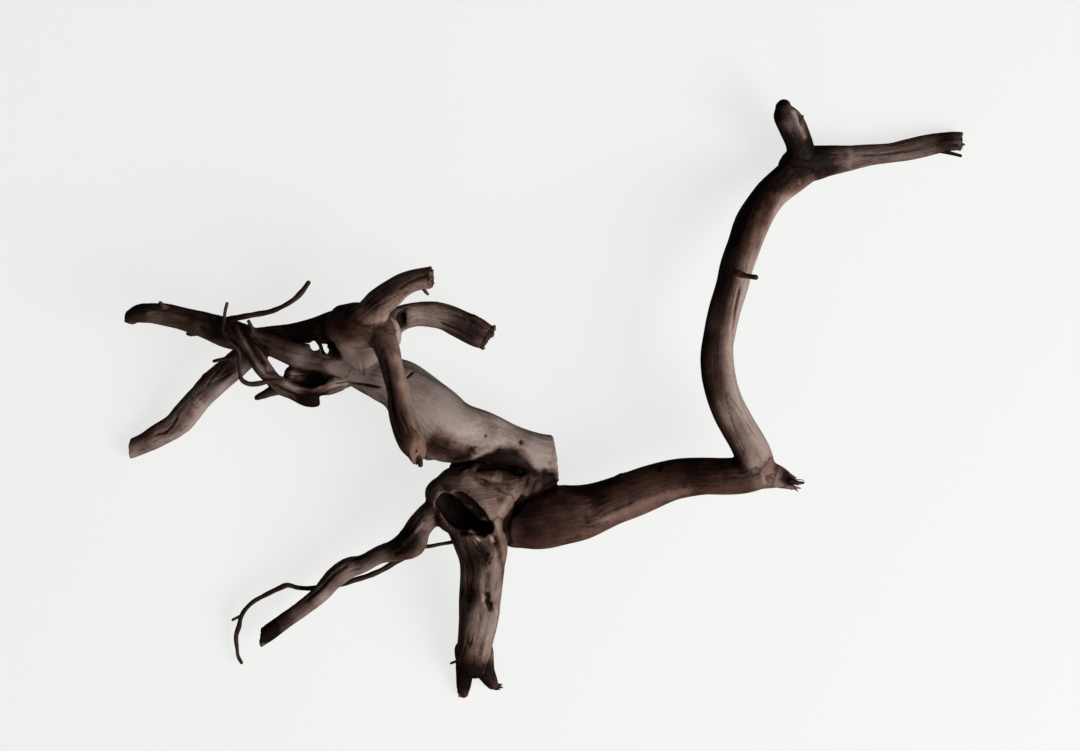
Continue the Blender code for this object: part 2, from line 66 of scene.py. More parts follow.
# A station is (x, y, height of the axis above the table, radius), all in millimetres.
# Each root runs from where it grows out of the wood to its free end.
HEAVY_ROOTS = {
    "trunk": [(-116,20.5,50,10.2), (-101,14.5,51,12.5), (-86,8.5,51,16.4), (-71.5,-5.5,50,20.3),
        (-58,-16,49,20.6), (-38,-21,47,15.9), (-20.5,-26.5,45,11.9), (-5.5,-32.5,43,12.4), (6,-35,42,13.1)],
    "trunk_lip": [(-70,-30,46,5.4), (-63.5,-30.5,50,4.2), (-54,-32,53,4.2), (-44.5,-31,56,3.6),
        (-35.5,-27.5,57,3.6), (-27.5,-25,55,3.3), (-19.5,-27,51,3)],
    "left_root": [(-104,15.5,50,12), (-117,21,50,10.2), (-132,24.5,48.5,8.7), (-147.5,27,47,8.1),
        (-158,30.5,46,7.2), (-168,34.5,45,6.9), (-177.5,37.5,45,7.8), (-186,39.5,45,9), (-194.5,42,46,9),
        (-202.5,45,47,8), (-210.5,47.5,48,7.2), (-219,50,48,6.6), (-228,52,47,6.5), (-237.5,53,45,5.9),
        (-245,52.5,42,5.4), (-250,51,39,4.1)],
    "left_strand": [(-191.5,44.5,50,4.2), (-182.5,37.5,52,4.5), (-175.5,29.5,50,5), (-170.5,21,48,5.5),
        (-165,14,46,5), (-159,8.5,44,5.2), (-152,6,43,5.4), (-144,3.5,42,6.6), (-137,4,42,6.9)],
    "cup_body": [(-151.5,15,42,6.3), (-141,11.5,40,7.8), (-131,12,42,8.1), (-120,16,46,8.1)],
    "cup_rim": [(-167.5,15.5,50,2.4), (-159,12.5,50,2.7), (-151,8.5,50,2.7), (-143.5,6.5,50,2.7),
        (-135,8,51,2.7), (-127,11,53,2.7), (-119,12.5,54,3)],
    "snag": [(-153.5,9,44,4.8), (-162,7,43,3.5), (-169,4,41,2.5), (-174,2,39,1.8)],
    "left_prop": [(-171,32.5,38,7.2), (-180,27.5,36,7.8), (-188,21.5,32,7.9), (-196.5,15,28,7.5),
        (-204,9,24.5,7.2), (-212,1.5,20.5,6.9), (-219,-6.5,16.5,7.2), (-227,-15,12.5,7.2),
        (-237,-21,9,7.1), (-246.5,-26,6,6.3), (-256,-30,4.5,6)],
    "back_root": [(-116,45.5,50,11.4), (-129.5,43.5,44,9.3), (-142,42,40,7.2), (-154,40.5,38,6),
        (-166.5,39.5,38,5.7), (-178,38.5,40,5.4)],
    "crown": [(-121,45.5,54,11.3), (-112,44.5,61,13.1), (-103,42,67,10.9), (-95,39,70,8.3)],
    "crown_neck": [(-115.5,42.5,58,10.7), (-114.5,31.5,55,9.5), (-108.5,23.5,53,10.1), (-101.5,14,50,9.5)],
    "upper_branch": [(-109,45,64,11.3), (-102.5,51.5,70,10), (-97.5,58,76,8.5), (-90.5,63,82,7.9),
        (-84,67.5,88,6.8), (-76,70.5,94,6.2), (-66,72,99,6.1)],
    "side_branch": [(-104.5,45,56,9.5), (-94,47,54,9.2), (-86,50,53,7.5), (-78,52,52,7.3),
        (-69.5,52,50,7.8), (-60.5,50,47,8.1), (-53,46.5,43.5,8.7), (-45,43,40,9), (-39,40,37,8.4),
        (-34.5,38.5,35,6.9)],
    "front_branch": [(-99,42,68,8.9), (-96,36,72,8.2), (-92.5,27.5,78,7.6), (-90,18.5,84,7),
        (-86.5,6.5,90,6.8), (-84.5,-5,96,7.1), (-81,-14.5,101,7.7), (-77.5,-22.5,106,7.5),
        (-73,-29.5,110,5.5)],
    "lower_hub": [(-49.5,-60,46,20.4), (-44,-60,48,20.4), (-34.5,-58,44,17.7)],
    "hub_web": [(-36.5,-53,48,14.4), (-22.5,-52,46,10.8), (-10.5,-48.5,44,8.4), (1.5,-44,42,7.8)],
    "hub_tongue": [(-41.5,-41,57,4.2), (-36,-42,59.5,4.8), (-31.5,-44,59.5,4.6), (-29.5,-45,58.5,4)],
    "hub_rim": [(-47.5,-43.5,54,5.4), (-40,-55,57,7.1), (-35,-66,56,7.1), (-31,-77,52,6.3),
        (-28,-88,46,5.4), (-29.5,-101.5,39,4.8)],
    "web_rim": [(-9.5,-46.5,47,4.2), (-15.5,-54.5,48,4.2), (-22.5,-63,46,4.2), (-27,-73.5,46,4.2)],
    "leg": [(-45,-68,48,17.4), (-40.5,-83.5,44,15), (-38,-95.5,39,13.6), (-38,-108,34,12.6),
        (-39,-120.5,29,12.1), (-40.5,-133,24,11.6), (-42.5,-146,19,10.7), (-44,-155.5,15.5,10.1),
        (-43.5,-162.5,12.5,8)],
    "leg_prong_left": [(-48.5,-153.5,14,7.3), (-49.5,-165,9.5,5.5), (-50.5,-174.5,4.5,4.7),
        (-51,-180,2,3.6)],
    "leg_prong_right": [(-39.5,-153.5,14,7.3), (-37.5,-164.5,9.5,6), (-34.5,-171,7.5,4.6),
        (-32,-175,6,3.4), (-29,-177,5,1.5)],
    "lower_root": [(-61,-58,46,13.5), (-65,-65,46,9.9), (-71,-69,45,8.1), (-77,-76,43,8.1),
        (-81.5,-84.5,41,9.6), (-91,-90,37,6.6), (-101,-93.5,33,5.2), (-111,-99,29,5.3),
        (-119,-101.5,27,6.3), (-127,-107,25,6.2), (-131.5,-111.5,24,5.5), (-138,-118.5,22,5.1),
        (-148,-126.5,20,4.9), (-159,-134.5,18,4.9), (-168.5,-141.5,16,5.1), (-174.5,-145.5,15,5)],
    "lower_arm": [(-17,-72,34,16.9), (-6,-71,34,18.7), (6,-69,34,19), (19,-67.5,35,17.5),
        (32.5,-64,36,15.2), (47.5,-58.5,39,13.9), (62.5,-52.5,42,13.1), (77.5,-47.5,45,11.8),
        (92.5,-45.5,48,10.5), (107,-45,50,10.3), (119,-44,51,10.5), (128,-41,51,11.1)],
    "upper_arm": [(126,-40,51,11.1), (121.5,-27.5,54,10.7), (114.5,-15.5,58,10), (108.5,-4.5,61,9.6),
        (104.5,6,63,9.5), (102,17.5,64,9.3), (101.5,30,63.5,9.2), (103.5,42.5,61,9.3), (107,55.5,57,9.5),
        (111,68,53,10), (114,79.5,48,10.3), (118.5,92,43,10.7), (123,104.5,37,11), (129,116,31,10.5),
        (137,126,25,10.2), (147.5,135,20,10.2), (157.5,143,16,10.4)],
    "elbow_web": [(119.5,-40,54,7.2), (124,-41,54,8.4)],
    "end_corner": [(-3,-48,38,4.2), (2.5,-49,38,4.2), (6.5,-49,38,3.6)],
    "elbow_stub": [(129.5,-43,50,9), (138,-45,48,6.9), (144,-47.5,46,5.1), (149,-49.5,44,3.9)],
    "fork_right": [(153,143,17,11), (165,146,14.5,10.1), (175.5,148,12.5,8.6), (186.5,149,11,7.5),
        (199,151,9.5,6.3), (211.5,152.5,8.5,6), (224,155,7.5,6.3), (236.5,157.5,6.5,6.3),
        (247.5,159.5,5.5,5.9), (256,160,4.5,5.7)],
    "fork_stub": [(157,148.5,18,9.2), (154,157.5,24,8.4), (149,166,31,8.5), (144.5,172.5,36,7.2),
        (143,177,39,4.8)],
    # strap and cleft_floor lie under the trunk's lip and are painted dark as shade there.
    "strap": [(-45.5,-37.5,48,3), (-37.5,-34,53,4.2), (-28.5,-32.5,55,4.8), (-20,-33.5,54,4.5),
        (-12.5,-37,51,3.6), (-5.5,-42,47,2.7)],
    "cleft_floor": [(-52,-41.5,34,6.6), (-36.5,-41.5,36,7.8), (-21.5,-41.5,36,7.8), (-8.5,-42,36,7.2)],
    "pale_knob": [(-98,47,62,5.3), (-93,44.5,62,5.6), (-90.5,40,58,4.5), (-89.5,35.5,54,3)],
    "end_flake": [(-50.5,47.5,46,3.6), (-44.5,49.5,46,3), (-38.5,45.5,44,3), (-33.5,41,40,2.7)],
}

# Thin rootlets, spurs and splinters.
ROOTLETS = {
    "lower_rootlet": [(-85.5,-93.5,34,2.4), (-97.5,-101.5,30,1.8), (-107,-106,27,1.8), (-116,-109,24,1.6),
        (-124.5,-112,20,1.6), (-135,-114,16,1.5), (-144.5,-115,14,1.5), (-152,-114.5,14,1.5),
        (-158,-113,14,1.6), (-163.5,-115,14,1.5), (-171.5,-119,13,1.4), (-179.5,-123.5,11,1.3),
        (-185,-129,10,1.4), (-187.5,-134,9,1.4), (-188.5,-138.5,8,1.4), (-190.5,-145,7,1.3),
        (-190,-152.5,6,1.2), (-189.5,-157.5,5,1.2), (-187.5,-161.5,4.5,1.1)],
    "bridge_rootlet": [(-79.5,-87.5,38,2.1), (-71,-87.5,40,1.4), (-63.5,-86,42,1.2), (-55.5,-84.5,44,1.2),
        (-49.5,-83,46,1.3), (-43,-80.5,50,1.4)],
    "swept_rootlet": [(-198.5,45.5,50,2.4), (-188.5,48.5,57,2.1), (-181,50,61,1.8), (-172,51.5,65,1.7),
        (-163,53,69,1.5), (-155,56,73,1.6), (-148,60,77,1.6), (-143,64.5,80,1.6), (-139,69.5,83,1.5)],
    "looped_rootlet": [(-188.5,58.5,66,0.9), (-190,53.5,64,1.1), (-191,48,62,1.2), (-192.5,42.5,60,1.2),
        (-190.5,37.5,59,1.2), (-186.5,33.5,58,1.2), (-183,30,57,1.2), (-182.5,23.5,55,1.3),
        (-182.5,17.5,54,1.3), (-181.5,13,53.5,1.4), (-177.5,10.5,53,1.4), (-172,10.5,53,1.4),
        (-164.5,12,53,1.4), (-158,12,52,1.6)],
    "trunk_rootlet": [(-127,13,54,1.8), (-119.5,12.5,55,1.3), (-110.5,10,56,1.2), (-99,9,56,1.2)],
    "prop_spur": [(-189,26,40,1.9), (-195,25,41,1.3), (-199.5,24,42,1)],
    "strand_spike": [(-174.5,38,47,1.8), (-175,43,55,1.4), (-176.5,47.5,60,1.1)],
    "gap_strand": [(-138,37.5,46,1.4), (-135,33.5,48,1.1), (-134,30,48,1.1), (-131.5,26.5,47,1.4)],
    "left_hook": [(-246,50,40,2.4), (-249.5,47.5,37,1.6), (-253.5,48.5,35,1.1)],
    "arm_twig": [(113.5,76,60,2.7), (118.5,74.5,64,1.8), (124,73.5,67,1.6)],
    "fork_splinter": [(239,154,7,1.6), (247.5,152.5,7.5,1.2), (255,150.5,8.5,1)],
    "left_chip": [(-226,54.5,49,2.4), (-228.5,57,53,1.6), (-230,59,54,0.9)],
    "branch_nub": [(-74,-30.5,107,2.1), (-72.5,-33.5,110,1.7), (-72,-36,111,1.3)],
    "branch_bristle": [(-70.5,69.5,98,2), (-70.5,65,98,1.2), (-68.5,62.5,97,0.8)],
    "elbow_bristle": [(145,-47.5,46,2.4), (150.5,-49,45,1.3), (154.5,-49,45,0.8)],
    "leg_hair": [(-52.5,-159.5,13,1.5), (-55.5,-160,13,0.9), (-58,-161,13,0.7)],
    "rootlet_spur": [(-187.5,-132.5,9,1.3), (-190,-133.5,9.5,1), (-192,-134.5,10,1)],
    "stub_spike": [(152.5,164,34,1.8), (154,167.5,38,1.3), (154.5,171.5,41,0.7)],
    "chip_below": [(-210,42.5,44,3.3), (-214,40.5,43,1.8), (-215.5,40.5,42,1)],
    "crown_spur": [(-116,50.5,62,4.2), (-121.5,56,60,1.5)],
}

# Hollows worn or rotted into the wood, each a short tube with round ends that is cut away.
HOLLOWS = {
    "hub_hollow": [(-62.5,-56.5,66,6.8), (-56.5,-61.5,65,10.1), (-50.5,-67.5,64,11.6), (-42.5,-72,62,9.5),
        (-37,-75,59,5.9)],
    "hub_depth": [(-59.5,-60.5,54,7.2), (-53,-67,49,9.6), (-45,-72,48,8.4), (-38,-74.5,51,6)],
    "hub_notch": [(-34,-73,60,3), (-35,-77,54,3.6), (-39.5,-80,52,2.4)],
    "cleft_depth": [(-50,-40,56,2.4), (-40.5,-40,52,2.7), (-31,-39,50,2.7), (-22.5,-40,50,2.7),
        (-15,-42.5,50,2.4)],
    "arm_crevice": [(-10.5,-55.5,54,1.8), (-16.5,-62.5,50,2.4), (-22,-71,47,2.7), (-24,-81.5,44,2.1)],
    "narrow_gap_bar": [(-137.5,32.5,60,1.5), (-135.5,32,46,1.7), (-134,31.5,30,1.6)],
    "cup": [(-144,14.5,54,3.3), (-139.5,14,52,4.5), (-134,13,53,3.9)],
    "hub_cleft": [(-57.5,-37.5,70,2.4), (-51,-39,64,2.7), (-40,-38.5,62,2.7), (-31,-37.5,61,3),
        (-22.5,-38.5,60,3), (-15.5,-41,57,2.4)],
    "leg_knot": [(-36,-116,42,0.7), (-34.5,-118.5,41,1.2), (-35.5,-121,40,1), (-33.5,-123.5,40,1.6),
        (-34.5,-126.5,40,0.8)],
    "leg_notch": [(-26,-134,28,2.7), (-29.5,-136.5,25,2.4), (-29.5,-140,24,1.8)],
    "stub_pit": [(144,-44.5,56,1.8), (146.5,-46.5,51,2.7), (149.5,-48.5,47,2.7), (152,-49.5,46,1.8)],
    "crown_crack": [(-84,58,66,2.4), (-85.5,53.5,62,2.7), (-86,48,60,3), (-84.5,43.5,58,2.4)],
    "narrow_gap": [(-136.5,32.5,70,2.8), (-138.5,33,46,3.1), (-141,33.5,20,2.9)],
    "narrow_gap_right": [(-130.5,30.5,70,2.5), (-132.5,31,46,2.8), (-135,31.5,20,2.6)],
}

# The way each saw cut or break faces, for the ends that aren't cut square across.
SAW_CUTS = {
    "trunk": (0.985, 0.16, -0.05), "front_branch": (0.6, -0.25, 0.75), "upper_branch": (1, 0, 0.15),
    "side_branch": (0.85, -0.5, 0), "left_prop": (-1, 0, 0), "fork_right": (1, 0, 0),
    "lower_root": (-1, 0.1, 0),
}
ROUND_ENDS = (
    "left_root", "lower_hub", "trunk_lip", "pale_knob", "end_flake", "snag", "fork_stub", "leg",
    "leg_prong_left", "hub_tongue", "elbow_web",
)

HEAVY_SIDES = 36
HOLLOW_SIDES = 32
ROOTLET_SIDES = 12
HEAVY_STEP = 2.0
LOBES = ((2, 0.05), (3, 0.04), (5, 0.015))
HOLLOW_LOBES = ((2, 0.05), (3, 0.07), (5, 0.06), (8, 0.035))
SPLINTER_LOBES = ((2, 0.3),)
LOBE_TWIST = 0.03
# How many rings at a root's end a saw cut may shorten.
CUT_RINGS = 8
VOXEL = 0.8
SOFTENING_ROUNDS = 40
# How sharply the pieces of a bent axis, and the roots, part the wood between them.
BEND_SHARPNESS = 12
ROOT_SHARPNESS = 9
# How far from a root's axis, beyond its radius, the wood may still be its own.
ROOT_REACH = 14
# A stroke works this far off its height, this many widths off its line, and on wood that faces up this far.
STROKE_HEIGHT = 13
STROKE_WIDTHS = 3
STROKE_FACING = -0.3
# A patch works this many radii off its middle, an end's looks this deep and this many radii wide.
PATCH_RADII = 2.2
END_DEPTH = 2.5
END_RADII = 1.7
# How wide, in square millimetres, the wood is averaged to find its crevices.
CREVICE_AREA = 20
# Each root takes its grain and its relief from a place of its own in the noise.
GRAIN_SHIFT = 37.0
RELIEF_SHIFT = 31.7
WOOD_TRIANGLES = 196000

# The side that faces the key lamp, painted paler as light while the far side is painted darker as shade, and
# how
# each root looks: how pale it is on top, from 0, dark, to 1, pale, how reddish, how rugged its surface is,
# and how strong its painted light and shade by side are.
PAINTED_LIGHT_SIDE = (0.88, -0.47, 0.0)
ROOT_LOOKS = {
    "trunk": (0.73, 0.0, 0.25, 0.2), "trunk_lip": (0.6, 0.1, 0.4, 0.3), "left_root": (0.14, 0.0, 1.4, 0.35),
    "left_strand": (0.16, 0.0, 1.6, 0.4), "cup_body": (0.2, 0.2, 1.3, 0.3), "cup_rim": (0.4, 0.1, 1.6, 0.3),
    "snag": (0.1, 0.1, 2.0, 0.3), "left_prop": (0.46, 0.0, 1.3, 0.32), "back_root": (0.1, 0.4, 1.1, 0.2),
    # crown_neck's tone is partly its own pale wood and partly painted light against the shadow that the crown
    # casts on it.
    "crown": (0.14, 0.6, 0.5, 0.2), "crown_neck": (0.73, 0.1, 0.4, 0.2),
    "upper_branch": (0.52, 0.3, 1.0, 0.3), "side_branch": (0.4, 0.0, 0.9, 0.2),
    "front_branch": (0.44, 0.4, 0.8, 0.45), "lower_hub": (0.38, 0.35, 0.35, 0.2),
    "hub_web": (0.5, 0.15, 0.3, 0.1), "hub_tongue": (0.33, 0.2, 0.8, 0.15),
    "hub_rim": (0.4, 0.3, 0.3, 0.15), "web_rim": (0.38, 0.2, 0.4, 0.1), "leg": (0.4, 0.0, 0.8, 0.3),
    "leg_prong_left": (0.1, 0.4, 1.8, 0.2), "leg_prong_right": (0.1, 0.4, 1.8, 0.2),
    "lower_root": (0.35, 0.0, 1.0, 0.3), "lower_arm": (0.11, 0.55, 0.2, 0.35),
    "upper_arm": (0.3, 0.2, 0.3, 0.9), "elbow_web": (0.3, 0.25, 0.3, 0.5),
    "end_corner": (0.1, 0.3, 0.6, 0.1), "elbow_stub": (0.36, 0.2, 1.5, 0.3),
    # strap and cleft_floor get a tone below 0: painted shade under the trunk's overhanging lip.
    "fork_right": (0.38, 0.0, 1.0, 0.2), "fork_stub": (0.1, 0.0, 1.2, 0.3), "strap": (-0.25, 0.5, 0.5, 0.1),
    "cleft_floor": (-0.3, 0.3, 1.0, 0.0), "pale_knob": (0.75, 0.0, 1.0, 0.1),
    "end_flake": (0.26, 0.4, 1.6, 0.2),
}
ROOTLET_LOOK = (0.06, 0.0, 1.0, 0.1)
SPLINTER_LOOK = (0.3, 0.1, 1.0, 0.2)
FIBRE_LOOK = (0.85, 0.0, 1.0, 0.1)

# How each free end looks: how ragged it is in millimetres, how much paler its wood is, and how fresh.
ENDS = {
    "trunk": (0.35, -0.05, 0.25), "front_branch": (0.3, 0.1, 1.0), "upper_branch": (1.2, -0.4, 0.1),
    "lower_root": (0.5, -0.2, 0.0), "side_branch": (2.2, -0.3, 0.1), "left_prop": (0.5, 0.0, 0.15),
    "fork_right": (1.4, -0.1, 0.0), "leg_prong_right": (1.5, -0.2, 0.0), "elbow_stub": (1.6, -0.1, 0.0),
}

# Lines on the upper side: height of the spot, width, how far it stands out, how much paler it is, its course.
STROKES = {
    "hub_ridge": (59, 1.8, 0.3, 0.1, ((-46.5,-45.5), (-39,-55), (-33,-63.5), (-29,-73), (-26.5,-85.5))),
    "web_ridge": (56, 2.1, 0.5, 0.12, ((-13,-44.5), (-19.5,-54), (-25.5,-62.5), (-29,-71))),
    "web_fold_a": (52, 1, -0.3, -0.12, ((-15,-43), (-16,-49.5), (-19,-55.5))),
    "web_fold_b": (53, 1, -0.3, -0.12, ((-10,-44), (-12,-50.5), (-15.5,-58))),
    "web_fold_c": (50, 1, -0.3, -0.12, ((-5.5,-45.5), (-7.5,-52), (-10.5,-59))),
    "web_crease": (50, 1.8, -1.2, -0.6, ((-11.5,-56), (-17,-62.5), (-22.5,-70), (-24.5,-79.5))),
    "trunk_line": (60, 0.8, -0.9, -0.55, ((-127.5,10.5), (-118,11.5), (-108.5,10), (-96.5,8))),
    "scratch_a": (63, 0.6, -0.6, -0.45, ((-109.5,27), (-109,20.5), (-108,14))),
    "scratch_b": (62, 0.5, -0.5, -0.3, ((-113,22.5), (-111,19), (-110,14))),
    "trunk_crack": (74, 0.6, -0.8, -0.6, ((-77.5,19.5), (-80,16.5), (-83,13.5))),
    "leg_ridge": (41, 3, 0.6, 0.05, ((-35.5,-93), (-38.5,-106.5), (-41.5,-119.5), (-45.5,-133),
        (-48,-143.5))),
    "leg_end_shade": (16, 7.3, 0, -0.35, ((-53.5,-163), (-46.5,-165.5), (-38,-168))),
    # Painted shade along the upper arm's side that faces away from the key lamp.
    "arm_dark_side": (50, 4.8, 0, -0.16, ((112,-36.5), (101,-17), (96,0.5), (93.5,24.5), (96,48.5),
        (102,72.5), (108.5,96.5), (117.5,114.5), (131,129.5))),
    "left_dark": (55, 4.8, 0, -0.14, ((-208.5,49.5), (-198,47), (-187,43.5), (-178.5,33.5))),
    "root_dark_end": (21, 5.5, 0, -0.3, ((-175.5,-145.5), (-165,-139.5), (-153,-130))),
    "root_dark_mid": (46, 6, 0, -0.12, ((-94.5,-89), (-85,-87), (-76.5,-79.5))),
    "side_end_dark": (46, 5.4, 0, -0.28, ((-48,42.5), (-40.5,40.5), (-34.5,38))),
    "fork_band": (15, 2.4, 0.4, 0.18, ((185,155.5), (186,149), (184.5,141))),
    "arm_bud": (27, 1.1, 0.5, 0.3, ((153,135.5), (153.5,133.5), (153.5,131))),
    "rim_splinter_a": (51, 1.2, 0.9, 0.6, ((-46.5,-76), (-43,-79.5), (-38.5,-83.5))),
    "rim_splinter_b": (54, 1.3, 0.9, 0.55, ((-35.5,-78.5), (-32.5,-81), (-31,-84.5))),
    "leg_crack": (41, 1.3, -0.7, -0.6, ((-36,-114), (-34.5,-118), (-35.5,-121), (-33.5,-124), (-34,-128))),
    "leg_crack_pale": (42, 1.3, 0.4, 0.3, ((-38.5,-114.5), (-37.5,-120), (-36,-125))),
    "leg_crack_ridge": (34, 1.3, 0.4, 0.15, ((-32,-122), (-30,-125.5), (-29,-130.5))),
    # Painted shade along the trunk's lower edge, under its overhang.
    "trunk_under": (61, 7.7, 0, -0.45, ((-71,-22.5), (-63,-27), (-53.5,-32), (-42.5,-35))),
    "arm_mid_lift": (59, 4.8, 0, 0.4, ((96,37.5), (100,59), (106,78), (113.5,97))),
    "strand_ridge": (55, 1.2, 0.8, 0.12, ((-187,47), (-182.5,39), (-177.5,30.5), (-169,16))),
    "strand_groove": (53, 1.2, -1.1, -0.4, ((-183.5,48), (-178.5,39), (-173,29.5), (-166,20))),
    "left_groove": (57, 1.2, -1, -0.2, ((-208,45), (-198.5,40), (-189,36.5))),
    "left_ridge": (52, 1.4, 0.5, 0.15, ((-242.5,52.5), (-231.5,54), (-221,51), (-211.5,48))),
    "cup_edge": (53, 1, 0.7, 0.45, ((-158,12), (-151,8.5), (-139.5,6.5), (-130,10.5))),
    "prop_crease": (18, 1, -0.7, -0.22, ((-240.5,-22), (-232.5,-19.5), (-228.5,-16), (-223.5,-9))),
    "prop_ridge": (27, 1.8, 0.7, 0.12, ((-182.5,22), (-195,10), (-207,-4), (-219,-17.5), (-240.5,-28))),
    "side_ridge": (54, 1.2, 0.9, -0.25, ((-90.5,55), (-80,57), (-65.5,57.5), (-52.5,53), (-44,48.5))),
    "side_split": (50, 0.7, -0.6, -0.25, ((-63.5,47.5), (-52.5,42.5), (-42,36))),
    "upper_groove": (98, 0.9, -0.5, -0.08, ((-86.5,64.5), (-81,68.5), (-73,72), (-67,73))),
    "branch_ridge": (97, 1.7, 0.8, 0.25, ((-89,32.5), (-86,21), (-83.5,7.5), (-79.5,-6), (-74.5,-20))),
    "branch_groove": (96, 1.2, -0.5, -0.15, ((-94.5,28.5), (-92,16), (-89,2), (-86.5,-13.5))),
    "arm_ridge": (52, 3, 0.6, 0.25, ((26.5,-74.5), (47.5,-65), (71,-55.5), (92,-51))),
    "arm_crease": (65, 0.9, -0.5, -0.15, ((115.5,71), (112.5,57), (110,42), (111,29))),
    "fork_groove": (15, 0.9, -0.4, -0.08, ((191,149.5), (204.5,150.5), (220,152.5), (235,155))),
    "fork_crack": (11, 0.7, -0.5, -0.2, ((238,156.5), (247,157), (254,156.5))),
    "stub_edge": (36, 1.8, 0.3, 0.45, ((148,177), (151.5,171), (154.5,163.5), (157.5,156.5))),
    "lower_ridge": (50, 1.5, 0.9, 0.2, ((-72.5,-71), (-80,-80), (-88.5,-86.5))),
    "lower_groove": (47, 1.2, -1, -0.2, ((-76.5,-78.5), (-84.5,-88), (-92,-93))),
    "lower_line": (28, 1, -0.6, -0.3, ((-117.5,-97.5), (-128,-105), (-137,-114.5), (-149,-124.5))),
}

